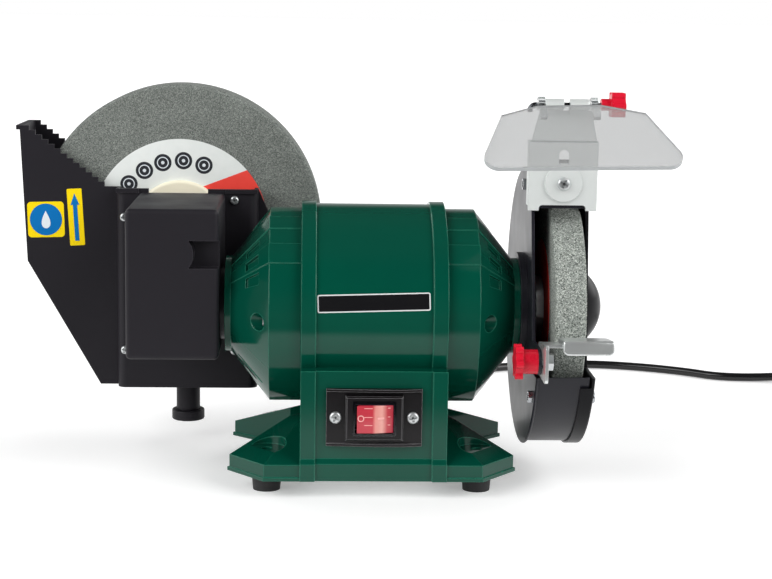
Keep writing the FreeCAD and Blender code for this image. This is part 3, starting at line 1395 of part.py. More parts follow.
def tool_rest():
    """The rest's plate, with its front edge folded down and its free corners rounded."""
    z = BRACKET_Z[1]
    plate = block(REST_X, REST_Y, (z, z + REST_T))
    lip = block(REST_X, (REST_Y[0], REST_Y[0] + REST_T), (z + REST_T - REST_LIP_H, z + REST_T))
    solid = fused([plate, lip])
    front = [
        e
        for e in solid.Edges
        if e.BoundBox.XLength > 1 and e.BoundBox.ZMin > z + 1 and e.BoundBox.YMax < REST_Y[0] + 1
    ]
    solid = solid.makeFillet(REST_T * 0.7, front)
    low = z + REST_T - REST_LIP_H
    free = [e for e in solid.Edges if e.BoundBox.XLength < 0.1 and e.BoundBox.ZMax < low + 0.1]
    free += [e for e in solid.Edges if e.BoundBox.ZLength > REST_T / 2 and e.BoundBox.YMin > REST_Y[1] - 0.1]
    return rest_tilted(solid.makeFillet(REST_CORNER_R, free))


def tool_rest_bolt():
    """The clamping bolt with its washer."""
    face = GUARD_PLATE_END + 2 * SLIDE_GAP + BRACKET_T
    head_x = face + WASHER_T
    washer = tube("X", WASHER_R, REST_BOLT_R + FIT, face, head_x, REST_AXIS)
    head = hex_nut("X", REST_AXIS, head_x, head_x + REST_BOLT_HEAD[1], 2 * REST_BOLT_HEAD[0] - 1, 1.5)
    core = rod("X", 1.6, head_x, head_x + REST_BOLT_HEAD[1] - 0.6, REST_AXIS)
    shank = rod("X", REST_BOLT_R, REST_KNOB_X[0] + 3, head_x, REST_AXIS)
    return group([washer, fused([head, core, shank])])


def tool_rest_knob():
    a, b = REST_KNOB_X
    head = lobed("X", REST_AXIS, a, b, REST_KNOB_R[0], REST_KNOB_LOBE_R)
    neck = rod("X", REST_KNOB_R[1], b, GUARD_X - SLIDE_GAP, REST_AXIS)
    return fused([head, neck]).cut(rod("X", REST_BOLT_R + RUN, a + 2.5, GUARD_X, REST_AXIS))


# Switch


def switch_plate():
    """A moulded plate between an upper and a lower rim, which rise from both ends."""
    half = SWITCH_PLATE[0] / 2
    face = -PEDESTAL_FACE_Y
    seat = face - SWITCH_PLATE_T
    outline = [
        (-half, face),
        (-half, face - SWITCH_RIM_LOW),
        (SWITCH_RIM_FLAT_X[0], face - SWITCH_RIM_HIGH),
        (SWITCH_RIM_FLAT_X[1], face - SWITCH_RIM_HIGH),
        (half, face - SWITCH_RIM_LOW),
        (half, face),
    ]
    low, high = centred(SWITCH_Z, SWITCH_PLATE[1])
    plate = prism("Z", outline, low, high)
    field = (low + SWITCH_RIM_W, high - SWITCH_RIM_W)
    plate = plate.cut(block((-half, half), (face - 9, seat), field))
    opening = (centred(0, SWITCH_BODY[0] + 2 * PLAY), centred(SWITCH_Z, SWITCH_BODY[1] + 2 * PLAY))
    plate = plate.cut(block(opening[0], (face - 9, face), opening[1]))
    for x in (-SWITCH_SCREW_X, SWITCH_SCREW_X):
        plate = plate.cut(rod("Y", TIE_R, seat, face, (x, SWITCH_Z)))
    return plate


def switch_body():
    """The switch's bezel and the housing behind it, with room for the rocker."""
    seat = -PEDESTAL_FACE_Y - SWITCH_PLATE_T
    front = seat - SWITCH_BEZEL_T
    bezel = block(centred(0, SWITCH_BEZEL[0]), (front, seat), centred(SWITCH_Z, SWITCH_BEZEL[1]))
    bezel = bezel.makeChamfer(1.0, [e for e in bezel.Edges if e.BoundBox.YMax < front + 0.1])
    housing = block(
        centred(0, SWITCH_BODY[0]),
        (seat - 1, seat + SWITCH_BODY_L),
        centred(SWITCH_Z, SWITCH_BODY[1]),
    )
    room = block(
        centred(0, ROCKER[0] + 2 * ROCKER_GAP),
        (front - 1, front + ROCKER_DEPTH + 4),
        centred(SWITCH_Z, ROCKER[1] + 2 * ROCKER_GAP),
    )
    return fused([bezel, housing]).cut(room)


def switch_frame():
    """The clear frame round the rocker."""
    front = -PEDESTAL_FACE_Y - SWITCH_PLATE_T - SWITCH_BEZEL_T
    y = (front - SWITCH_FRAME_T, front)
    frame = block(centred(0, SWITCH_FRAME[0]), y, centred(SWITCH_Z, SWITCH_FRAME[1]))
    hole = block(
        centred(0, ROCKER[0] + 2 * ROCKER_GAP), y, centred(SWITCH_Z, ROCKER[1] + 2 * ROCKER_GAP)
    )
    return frame.cut(hole)


def rocker_pivot():
    return -PEDESTAL_FACE_Y - SWITCH_PLATE_T - SWITCH_BEZEL_T + ROCKER_DEPTH / 2


def switch_rocker():
    """The rocker, tipped to one side about an upright pivot."""
    half = ROCKER[0] / 2
    pivot = rocker_pivot()
    proud = ROCKER_DEPTH / 2 + ROCKER_PROUD
    edge = proud - half * math.tan(math.radians(ROCKER_TILT))
    outline = [
        (-half, pivot - edge),
        (0, pivot - proud),
        (half, pivot - edge),
        (half * 0.8, pivot),
        (0, pivot + 2.5),
        (-half * 0.8, pivot),
    ]
    low, high = centred(SWITCH_Z, ROCKER[1])
    solid = prism("Z", outline, low, high)
    solid.rotate(V(0, pivot, SWITCH_Z), V(0, 0, 1), ROCKER_TILT)
    return solid


def switch_screws():
    seat = -PEDESTAL_FACE_Y - SWITCH_PLATE_T
    places = [(x, SWITCH_Z) for x in (-SWITCH_SCREW_X, SWITCH_SCREW_X)]
    return group([pan_screw("Y", p, seat, -1, TIE_R - FIT, 9) for p in places])


# Mains cord


def cord_gland():
    """A tapered strain relief in the pedestal's back."""
    p = (GLAND_X, GLAND_Z)
    face = PEDESTAL_FACE_Y
    flange_r, flange_t = GLAND_FLANGE
    neck = rod("Y", GLAND_R[0], face - PEDESTAL_WALL - 2, face + flange_t, p)
    flange = rod("Y", flange_r, face, face + flange_t, p)
    sleeve = taper("Y", GLAND_R[0], GLAND_R[1], face + flange_t, face + flange_t + GLAND_L, p)
    return fused([neck, flange, sleeve])


def cord_points():
    """The route's points, from the gland to the coil."""
    exit_y = PEDESTAL_FACE_Y + GLAND_FLANGE[1] + GLAND_L
    end = (COIL_X - CORD_D, CORD_ROUTE[-1][1], COIL_Z)
    return [V(GLAND_X, exit_y, GLAND_Z)] + [V(*p) for p in CORD_ROUTE] + [V(*end)]


def rounded_path(points):
    """Straight runs joined by tangent arcs as large as the runs allow."""
    edges = []
    radii = []
    here = points[0]
    for before, corner, after in zip(points, points[1:], points[2:]):
        a = (before - corner).normalize()
        b = (after - corner).normalize()
        turn = math.pi - a.getAngle(b)
        cut = 0.45 * min((before - corner).Length, (after - corner).Length)
        radius = cut / math.tan(turn / 2)
        radii.append(radius)
        start = corner + a * cut
        end = corner + b * cut
        centre_way = (a + b).normalize()
        middle = corner + centre_way * (math.hypot(radius, cut) - radius)
        edges.append(Part.LineSegment(here, start).toShape())
        edges.append(Part.Arc(start, middle, end).toShape())
        here = end
    edges.append(Part.LineSegment(here, points[-1]).toShape())
    return Part.Wire(edges), radii


def swept(wire, start, way):
    """A round cord along a wire."""
    ring = Part.Wire(Part.makeCircle(CORD_R, start, way))
    return wire.makePipeShell([ring], True, False)


def power_cord():
    points = cord_points()
    wire, radii = rounded_path(points)
    print("cord radii", [round(r) for r in radii])
    solid = swept(wire, points[0], points[1] - points[0])
    share = solid.Volume / (math.pi * CORD_R**2 * wire.Length)
    print("cord length", round(wire.Length), "volume share", round(share, 4))
    return solid


def coil_nodes():
    """Place and heading at each half turn: a layer spirals in, climbs, and a layer spirals out."""
    centre_y = CORD_ROUTE[-1][1] - COIL_OUTER_R
    step = COIL_PITCH / 2
    radii = [COIL_OUTER_R - i * step for i in range(COIL_IN_HALF_TURNS + 1)]
    radii += [radii[-1] + i * step for i in range(COIL_OUT_HALF_TURNS + 1)]
    nodes = []
    for i, r in enumerate(radii):
        side = 1 if i % 2 == 0 else -1
        z = COIL_Z if i <= COIL_IN_HALF_TURNS else COIL_Z + COIL_LAYER
        nodes.append((V(COIL_X, centre_y + side * r, z), V(side, 0, 0)))
    return nodes


def coil_tail():
    """Where the last quarter turn ends, heading to the front."""
    last, _ = coil_nodes()[-1]
    r = last.y - (CORD_ROUTE[-1][1] - COIL_OUTER_R) + COIL_PITCH / 6
    return V(COIL_X + r, last.y - r, last.z)


def quarter_arc(start, way, end):
    """An arc from a point, with a heading, to another point."""
    chord = end - start
    side = chord - way * chord.dot(way)
    side.normalize()
    radius = chord.Length**2 / (2 * chord.dot(side))
    centre = start + side * radius
    out = ((start - centre) + (end - centre)).normalize()
    return Part.Arc(start, centre + out * radius, end).toShape()


def coil_wire():
    """The coil's line: each half turn is two arcs, and both ends run straight."""
    nodes = coil_nodes()
    first, way = nodes[0]
    edges = [Part.LineSegment(first - way * CORD_D, first).toShape()]
    for (p, t), (q, u) in zip(nodes, nodes[1:]):
        reach = (q - p).Length / 2
        middle = (p + t * reach + q - u * reach) * 0.5
        edges.append(quarter_arc(p, t, middle))
        edges.append(quarter_arc(q, u * -1, middle))
    last, way = nodes[-1]
    turned_to = coil_tail()
    edges.append(quarter_arc(last, way, turned_to))
    edges.append(Part.LineSegment(turned_to, turned_to - V(0, COIL_TAIL, 0)).toShape())
    return Part.Wire(edges)


def self_gap(wire):
    """The least gap between stretches of the coil, measured on points along its line."""
    points = wire.discretize(Distance=2.0)
    apart = math.ceil(4 * CORD_D / 2.0)
    least = 1e9
    for i, p in enumerate(points):
        for q in points[i + apart :]:
            least = min(least, (p - q).Length)
    return least - CORD_D


def cord_coil():
    wire = coil_wire()
    first, way = coil_nodes()[0]
    solid = swept(wire, first - way * CORD_D, way)
    share = solid.Volume / (math.pi * CORD_R**2 * wire.Length)
    print("coil length", round(wire.Length), "volume share", round(share, 4))
    print("coil least gap to itself", round(self_gap(wire), 2))
    return solid


def cord_tie():
    """A strap round the coil's turns, where they pass on the left."""
    nodes = coil_nodes()
    spans = [(p - q).Length / 2 for (p, _), (q, _) in zip(nodes, nodes[1:])][1::2]
    centre_y = nodes[0][0].y - COIL_OUTER_R
    inner = (COIL_X - max(spans) - CORD_R - TIE_GAP, COIL_X - min(spans) + CORD_R + TIE_GAP)
    z_in = (COIL_Z - CORD_R - SLIDE_GAP, COIL_Z + COIL_LAYER + CORD_R + SLIDE_GAP)
    width = centred(centre_y, TIE_W)
    outer = ((inner[0] - TIE_T, inner[1] + TIE_T), width, (z_in[0] - TIE_T, z_in[1] + TIE_T))
    return block(*outer).cut(block(inner, width, z_in))


def plug():
    """A moulded two pin plug at the cord's end, lying beside the coil."""
    start = coil_tail() - V(0, COIL_TAIL, 0)
    length, width, height = PLUG_SIZE
    face = start.y - PLUG_NOSE - length
    p = (start.x, start.z)
    nose = taper("Y", height / 2 - 2, CORD_R + 1.2, start.y - PLUG_NOSE - 1, start.y, p)
    body = block(centred(start.x, width), (face, face + length), centred(start.z, height))
    lengthways = [e for e in body.Edges if e.BoundBox.YLength > 1]
    body = body.makeFillet(height / 2 - 1, lengthways)
    pins = []
    for side in (-1, 1):
        pin = rod("Y", PIN_R, face - PIN_L, face, (start.x + side * PIN_SPACING / 2, start.z))
        tip = [e for e in pin.Edges if e.Closed and e.CenterOfMass.y < face - 1]
        pins.append(pin.makeFillet(1.2, tip))
    return group([fused([nose, body])] + pins)


NODES = {
    "pedestal_base": pedestal_base,
    "base_plate": base_plate,
    "base_plate_screws": base_plate_screws,
    "rubber_feet": rubber_feet,
    "motor_barrel": motor_barrel,
    "left_end_bell": lambda: mirrored(right_end_bell()),
    "right_end_bell": right_end_bell,
    "tie_bolts": tie_bolts,
    "stator_core": stator_core,
    "stator_windings": stator_windings,
    "ball_bearings": ball_bearings,
    "gear_frame": gear_frame,
    "gear_cover": gear_cover,
    "gear_bushes": gear_bushes,
    "trough": trough,
    "trough_screws": trough_screws,
    "guard_spacer": guard_spacer,
    "wheel_guard": wheel_guard,
    "guard_cover": guard_cover,
    "guard_screws": guard_screws,
    "spark_screw": spark_screw,
    "tool_rest_bolt": tool_rest_bolt,
    "switch_plate": switch_plate,
    "switch_body": switch_body,
    "switch_frame": switch_frame,
    "switch_screws": switch_screws,
    "capacitor": capacitor,
    "cord_gland": cord_gland,
    "power_cord": power_cord,
    "cord_coil": cord_coil,
    "cord_tie": cord_tie,
    "plug": plug,
    "motor_shaft": motor_shaft,
    "rotor_core": rotor_core,
    "worm": worm,
    "bearing_inner_races": bearing_inner_races,
    "dry_wheel": dry_wheel,
    "dry_wheel_labels": dry_wheel_labels,
    "dry_wheel_flanges": dry_wheel_flanges,
    "dry_wheel_nut": dry_wheel_nut,
    "layshaft": layshaft,
    "worm_wheel": worm_wheel,
    "layshaft_pinion": layshaft_pinion,
    "wet_shaft": wet_shaft,
    "output_gear": output_gear,
    "wet_wheel": wet_wheel,
    "wet_wheel_labels": wet_wheel_labels,
    "wet_wheel_flanges": wet_wheel_flanges,
    "wet_wheel_nut": wet_wheel_nut,
    "spark_arrester": spark_arrester,
    "eye_shield": eye_shield,
    "shield_hinge": shield_hinge,
    "hinge_rod": hinge_rod,
    "shield_knob": shield_knob,
    "tool_rest": tool_rest,
    "tool_rest_bracket": tool_rest_bracket,
    "tool_rest_knob": tool_rest_knob,
    "switch_rocker": switch_rocker,
    "drain_cap": drain_cap,
}

os.makedirs("parts", exist_ok=True)
for name, make in NODES.items():
    shape = make()
    shape.exportStep("parts/" + name + ".step")
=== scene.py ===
"""Looks of a combined wet and dry bench grinder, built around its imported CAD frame."""

import math

import bmesh
import bpy
from mathutils import Matrix, Vector


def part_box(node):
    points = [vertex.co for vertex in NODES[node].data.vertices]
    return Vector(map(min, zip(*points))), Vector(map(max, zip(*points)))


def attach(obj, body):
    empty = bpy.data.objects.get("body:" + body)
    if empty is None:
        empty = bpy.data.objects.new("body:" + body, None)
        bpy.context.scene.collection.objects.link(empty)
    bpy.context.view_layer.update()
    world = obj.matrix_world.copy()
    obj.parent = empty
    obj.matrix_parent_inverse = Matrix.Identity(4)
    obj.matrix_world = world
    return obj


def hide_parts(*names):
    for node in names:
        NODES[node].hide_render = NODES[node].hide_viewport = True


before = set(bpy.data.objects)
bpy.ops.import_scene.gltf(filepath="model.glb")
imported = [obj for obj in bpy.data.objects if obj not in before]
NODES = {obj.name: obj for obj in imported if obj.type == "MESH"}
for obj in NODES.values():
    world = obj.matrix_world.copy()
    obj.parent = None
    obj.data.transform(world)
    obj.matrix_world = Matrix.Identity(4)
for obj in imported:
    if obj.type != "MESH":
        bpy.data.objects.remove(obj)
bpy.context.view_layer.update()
MM = 0.001

# Places and sizes that the CAD model also has, in millimetres
MOTOR_Z = 114.0
BARREL_R = 67.5
WET_X, WET_Z = -133.0, 155.25
WET_LABEL_FRONT = 78.6
TROUGH_FRONT = 71.5
CORD_D = 6.8
# Edges that turn by more degrees than this stay sharp
CREASE = 35


# Helpers


def linear(code):
    """An sRGB hex colour as linear RGBA."""
    parts = [int(code[i : i + 2], 16) / 255 for i in (1, 3, 5)]
    return [c / 12.92 if c <= 0.04045 else ((c + 0.055) / 1.055) ** 2.4 for c in parts] + [1.0]


def node(tree, kind, inputs=None, **settings):
    """Adds one node, sets its properties, sets or links its inputs, and gives its outputs."""
    made = tree.nodes.new(kind)
    for name, value in settings.items():
        setattr(made, name, value)
    for name, value in (inputs or {}).items():
        links = value if isinstance(value, list) else [value]
        if isinstance(links[0], bpy.types.NodeSocket):
            for link in links:
                tree.links.new(link, made.inputs[name])
        else:
            made.inputs[name].default_value = value
    return made.outputs


def per_mm(size):
    """The texture scale that makes a pattern's cells this many millimetres wide."""
    return 1 / (size * MM)


def point(x, y, z):
    """A place in mm as a vector in metres."""
    return Vector((x, y, z)) * MM


def piece(name, mesh, finishes, body, replaced=()):
    """Links a finished mesh or curve as a piece of the object."""
    made = bpy.data.objects.new(name, mesh)
    bpy.context.scene.collection.objects.link(made)
    for finish in finishes:
        mesh.materials.append(finish)
    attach(made, body)
    if replaced:
        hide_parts(*replaced)
    return made


def rounded_box(width, height, corner, steps=5):
    """A rounded rectangle's outline about the origin, in mm."""
    outline = []
    for quarter, (across, up) in enumerate(((1, 1), (-1, 1), (-1, -1), (1, -1))):
        for step in range(steps + 1):
            angle = math.pi / 2 * (quarter + step / steps)
            u = across * (width / 2 - corner) + corner * math.cos(angle)
            v = up * (height / 2 - corner) + corner * math.sin(angle)
            outline.append((u, v))
    return outline


def circle(radius, steps=40):
    """A circle's outline about the origin, in mm."""
    turns = [2 * math.pi * k / steps for k in range(steps)]
    return [(radius * math.cos(a), radius * math.sin(a)) for a in turns]


def loft(shape, rings, finish=0, closed=False):
    """Skins a row of rings of points in mm, with an end face at each end or joined into a loop."""
    rows = [[shape.verts.new(point(*p)) for p in ring] for ring in rings]
    faces = []
    for lower, upper in zip(rows, rows[1:] + rows[:1] * closed):
        for i in range(len(lower)):
            j = (i + 1) % len(lower)
            faces.append(shape.faces.new((lower[i], lower[j], upper[j], upper[i])))
    if not closed:
        faces += [shape.faces.new(rows[0]), shape.faces.new(rows[-1])]
    for face in faces:
        face.material_index = finish


def finished(name, shape, crease=CREASE):
    """The mesh of a built shape: doubles merged, faces turned outwards, sharp past the crease."""
    bmesh.ops.remove_doubles(shape, verts=shape.verts, dist=1e-7)
    bmesh.ops.recalc_face_normals(shape, faces=shape.faces)
    mesh = bpy.data.meshes.new(name)
    shape.to_mesh(mesh)
    shape.free()
    mesh.shade_smooth()
    mesh.set_sharp_from_angle(angle=math.radians(crease))
    return mesh


def new_tree(name, sizes):
    """An empty geometry tree with its named inputs, and the sockets that give them."""
    tree = bpy.data.node_groups.new(name, "GeometryNodeTree")
    tree.interface.new_socket("Places", in_out="INPUT", socket_type="NodeSocketGeometry")
    for label, kind in sizes.items():
        tree.interface.new_socket(label, in_out="INPUT", socket_type="NodeSocket" + kind)
    tree.interface.new_socket("Result", in_out="OUTPUT", socket_type="NodeSocketGeometry")
    return tree, tree.nodes.new("NodeGroupInput").outputs


def close_tree(tree, size, one, rotation):
    """Sets one made thing on every place, and ends the tree."""
    many = node(
        tree, "GeometryNodeInstanceOnPoints",
        {"Points": size["Places"], "Instance": one, "Rotation": rotation},
    )[0]
    real = node(tree, "GeometryNodeRealizeInstances", {0: many})[0]
    done = node(tree, "GeometryNodeSetMaterial", {"Geometry": real, "Material": size["Finish"]})[0]
    node(tree, "NodeGroupOutput", {0: done})


def grown(name, tree, places, sizes):
    """Runs a geometry tree over places in mm and gives its result as a plain mesh."""
    spots = bpy.data.meshes.new(name + "_places")
    spots.from_pydata([point(*p) for p in places], [], [])
    maker = bpy.data.objects.new(name + "_maker", spots)
    bpy.context.scene.collection.objects.link(maker)
    growth = maker.modifiers.new("growth", "NODES")
    growth.node_group = tree
    for item in tree.interface.items_tree:
        if item.in_out == "INPUT" and item.name in sizes:
            growth[item.identifier] = sizes[item.name]
    ready = maker.evaluated_get(bpy.context.evaluated_depsgraph_get())
    mesh = bpy.data.meshes.new_from_object(ready)
    maker.modifiers.remove(growth)
    bpy.data.objects.remove(maker)
    bpy.data.meshes.remove(spots)
    mesh.name = name
    mesh.materials.clear()
    mesh.shade_smooth()
    mesh.set_sharp_from_angle(angle=math.radians(CREASE))
    return mesh


# Camera

VIEW_YAW, VIEW_PITCH, VIEW_ROLL = math.radians(2.64), math.radians(9.08), math.radians(0.906)
CAMERA_PLACE = (-0.04502, -1.18721, 0.31401)
FOCAL_PIXELS, IMAGE_WIDTH, SENSOR_WIDTH, FAR_CLIP = 1795.0, 772, 36.0, 60


def make_camera():
    """The photo's camera, whose place, turn and focal length were fitted to the picture."""
    tilt = math.cos(VIEW_PITCH)
    forward = Vector((math.sin(VIEW_YAW) * tilt, math.cos(VIEW_YAW) * tilt, -math.sin(VIEW_PITCH)))
    level = Vector((math.cos(VIEW_YAW), -math.sin(VIEW_YAW), 0))
    down = forward.cross(level)
    right = level * math.cos(VIEW_ROLL) - down * math.sin(VIEW_ROLL)
    up = -(level * math.sin(VIEW_ROLL) + down * math.cos(VIEW_ROLL))
    turn = Matrix((right, up, -forward)).transposed().to_4x4()
    data = bpy.data.cameras.new("photo_camera")
    data.sensor_width = SENSOR_WIDTH
    data.lens = FOCAL_PIXELS / IMAGE_WIDTH * SENSOR_WIDTH
    data.clip_end = FAR_CLIP
    camera = bpy.data.objects.new("photo_camera", data)
    camera.matrix_world = Matrix.Translation(CAMERA_PLACE) @ turn
    bpy.context.scene.collection.objects.link(camera)
    bpy.context.scene.camera = camera


make_camera()


# Finishes

# Most of a noise lies between these values
NOISE_SPAN = {"From Min": 0.3, "From Max": 0.7}
# The cosines of the edge's turn at which a rim's painted tone begins and is whole
RIM_SPAN = {"From Min": 0.99, "From Max": 0.85}


def new_material(name):
    """An empty material, its tree, and the place on the object, which its patterns follow."""
    material = bpy.data.materials.new(name)
    material.use_nodes = True
    tree = material.node_tree
    tree.nodes.clear()
    return material, tree, node(tree, "ShaderNodeTexCoord")["Object"]


def set_stops(tones, stops):
    """Gives the colour ramp behind a socket its stops, as places and hex colours."""
    elements = tones.node.color_ramp.elements
    while len(elements) < len(stops):
        elements.new(0.5)
    for element, (at, code) in zip(elements, stops):
        element.position, element.color = at, linear(code)


def skin(
    name, colour, shade, mottle, grain, depth, rough, metallic=0.0, ior=1.5, edge=0.4,
    stretch=(1, 1, 1), shine=0.5, rim=None, rim_metal=0.1,
):
    """A finish over a whole piece: two tones in patches mottle mm wide, a grain of the given
    width and depth in mm, a roughness that wanders between two values, and softened edges, which
    may have a painted tone of their own: a painted highlight where that tone is paler, and painted
    shade where it is greyer."""
    material, tree, place = new_material(name)
    along = node(tree, "ShaderNodeMapping", {"Vector": place, "Scale": stretch})[0]
    patches = node(
        tree, "ShaderNodeTexNoise", {"Vector": place, "Scale": per_mm(mottle), "Detail": 3.0}
    )[0]
    fine = node(tree, "ShaderNodeTexNoise", {"Vector": along, "Scale": per_mm(grain), "Detail": 2.0})[0]
    tone = node(
        tree, "ShaderNodeMix", {0: patches, 6: linear(colour), 7: linear(shade)}, data_type="RGBA"
    )[2]
    dull = node(
        tree, "ShaderNodeMapRange",
        {"Value": patches, **NOISE_SPAN, "To Min": rough[0], "To Max": rough[1]},
    )[0]
    soft_edge = node(tree, "ShaderNodeBevel", {"Radius": edge * MM}, samples=4)[0]
    if rim:
        straight = node(tree, "ShaderNodeNewGeometry")["Normal"]
        turn = node(
            tree, "ShaderNodeVectorMath", {0: soft_edge, 1: straight}, operation="DOT_PRODUCT"
        )["Value"]
        # thin marks the rim's painted tone along turning edges: a painted highlight where paler, painted
        # shade where greyer
        thin = node(tree, "ShaderNodeMapRange", {"Value": turn, **RIM_SPAN})[0]
        tone = node(tree, "ShaderNodeMix", {0: thin, 6: tone, 7: linear(rim)}, data_type="RGBA")[2]
    if rim and metallic:
        metallic = node(
            tree, "ShaderNodeMapRange", {"Value": thin, "To Min": metallic, "To Max": rim_metal}
        )[0]
    bump = node(
        tree, "ShaderNodeBump",
        {"Strength": 1.0, "Distance": depth * MM, "Height": fine, "Normal": soft_edge},
    )[0]
    surface = node(
        tree, "ShaderNodeBsdfPrincipled",
        {
            "Base Color": tone, "Roughness": dull, "Metallic": metallic, "IOR": ior, "Normal": bump,
            "Specular IOR Level": shine,
        },
    )[0]
    node(tree, "ShaderNodeOutputMaterial", {"Surface": surface})
    return material


# Sprayed enamel on castings: deep green, glossy, with a slight orange peel and a paler highlight painted
# along its edges
green_enamel = skin(
    "green_stove_enamel", "#034B3A", "#024234", 45, 1.6, 0.004, (0.1, 0.15), edge=0.9, shine=0.32,
    rim="#2F8069",
)
# Moulded ABS with a fine spark-eroded texture: soft grey sheen on black, and a grey highlight painted
# along its edges
black_abs = skin(
    "black_textured_abs", "#252328", "#1F1D22", 30, 0.55, 0.03, (0.42, 0.52), edge=0.5, shine=0.2,
    rim="#4A484D",
)
# Smooth moulded ABS of the switch parts: near black, with a pale highlight painted along its edges
smooth_abs = skin(
    "black_smooth_abs", "#151214", "#100E10", 20, 0.8, 0.004, (0.18, 0.26), edge=0.6, shine=0.3,
    rim="#8C8A8C",
)
# Powder coat on pressed sheet steel: black with a faint ripple, and a grey highlight painted along its
# edges
black_powder_coat = skin(
    "black_powder_coat", "#202027", "#1A1A20", 35, 1.1, 0.01, (0.3, 0.38), edge=0.5, shine=0.3,
    rim="#3C3C44",
)
# Lacquer on the guard's cover and its dome: black with a soft sheen
gloss_black = skin(
    "black_gloss_lacquer", "#17171A", "#131315", 35, 2.5, 0.004, (0.26, 0.34), edge=0.4, shine=0.1
)
# Bright zinc plate on rolled sheet: pale, slightly cloudy, with rolling lines and a greyer tone along its
# edges
zinc = skin(
    "bright_zinc_plate", "#E0E4E2", "#D6DAD8", 14, 0.9, 0.003, (0.5, 0.58), 0.4, edge=0.4,
    stretch=(1, 1, 0.12), rim="#A2A7A8",
)
# The pressed fold is greyer: painted shade along the line where the arm begins
zinc_fold_shade = skin("zinc_fold_painted_shade", "#8E9394", "#7F8485", 4, 0.5, 0.01, (0.5, 0.6), 0.4)
# The tool rest's plating is polished, so that it shows clearer reflections, and its edges carry a white
# painted highlight
polished_zinc = skin(
    "polished_zinc_plate", "#E2E5E4", "#D6DAD9", 12, 0.8, 0.002, (0.26, 0.34), 0.8, edge=0.5,
    stretch=(0.12, 1, 1), rim="#FFFFFF", rim_metal=1.0,
)
# Zinc-plated fixings: clearer reflections than the sheet, and grey edges
zinc_fixing = skin(
    "zinc_fixing", "#D2D5D5", "#C6C9CA", 6, 0.5, 0.002, (0.28, 0.36), 0.8, edge=0.25, rim="#8E9294"
)
# Blackened steel of the hinge rod: dark, with bright glints painted along its edges
black_oxide = skin(
    "blackened_steel", "#5C5E62", "#4C4E52", 5, 0.5, 0.004, (0.2, 0.3), 1.0, edge=0.5, rim="#A9ACB0"
)
# Ground bar steel of the shafts and the guard's screws: bright, with fine streaks
ground_steel = skin(
    "ground_steel", "#B8BBBE", "#A4A7AB", 6, 0.4, 0.002, (0.2, 0.3), 1.0, stretch=(0.05, 1, 1)
)
# Nitrile rubber of the feet: dull black
foot_rubber = skin("black_rubber", "#1A1A1B", "#141415", 12, 0.7, 0.015, (0.55, 0.7), edge=0.4)
# PVC sheath of the lead: black, with a soft highlight along it
lead_pvc = skin(
    "black_pvc_sheath", "#19191A", "#131314", 25, 1.2, 0.006, (0.2, 0.28), edge=0.2, shine=0.5
)
# Moulded PVC of the plug and the strain relief, duller than the sheath
moulded_pvc = skin(
    "black_moulded_pvc", "#1B1B1C", "#151516", 14, 0.6, 0.012, (0.42, 0.54), edge=0.3, shine=0.35
)
# Nickel-plated brass of the plug's pins: warm and bright
nickel = skin("nickel_plated_brass", "#C9C5BC", "#BBB7AE", 5, 0.4, 0.002, (0.18, 0.26), 1.0, edge=0.15)
# Woven nylon of the lead's tie: dull, with cross threads 0.7 mm apart
nylon_strap = skin(
    "black_nylon_strap", "#202022", "#161618", 5, 0.7, 0.12, (0.6, 0.75), edge=0.2, stretch=(1, 0.3, 1)
)
# Moulded polypropylene of the two clamp knobs: glossy red
red_knob = skin(
    "red_polypropylene", "#DC1A34", "#CA132B", 14, 0.9, 0.004, (0.22, 0.32), edge=0.5, shine=0.3
)
# Nylon of the wet wheel's flanges: cream, with a waxy dullness
cream_nylon = skin("cream_nylon", "#FFF8E0", "#F9F1D6", 18, 0.8, 0.006, (0.4, 0.5), edge=0.5)
# Stacked core plates, copper windings, bronze bushes and the capacitor, which stay inside
core_steel = skin(
    "core_plate_steel", "#6C6E70", "#56585A", 6, 0.5, 0.02, (0.4, 0.55), 1.0, stretch=(6, 0.3, 0.3)
)
copper_wire = skin("enamelled_copper", "#B5622E", "#8E4820", 4, 0.8, 0.1, (0.25, 0.4), 1.0)
bronze = skin("sintered_bronze", "#B08A4A", "#94723A", 5, 0.4, 0.02, (0.4, 0.55), 1.0)
grey_plastic = skin("grey_pbt", "#8A8D90", "#7C7F83", 12, 0.8, 0.01, (0.4, 0.5))


# The stones' worn patches in mm, how far they change the tone, and the pits' width in grains
STONE_PATCH, STONE_WEAR, STONE_PITS = 14, (0.9, 1.08), 1.3


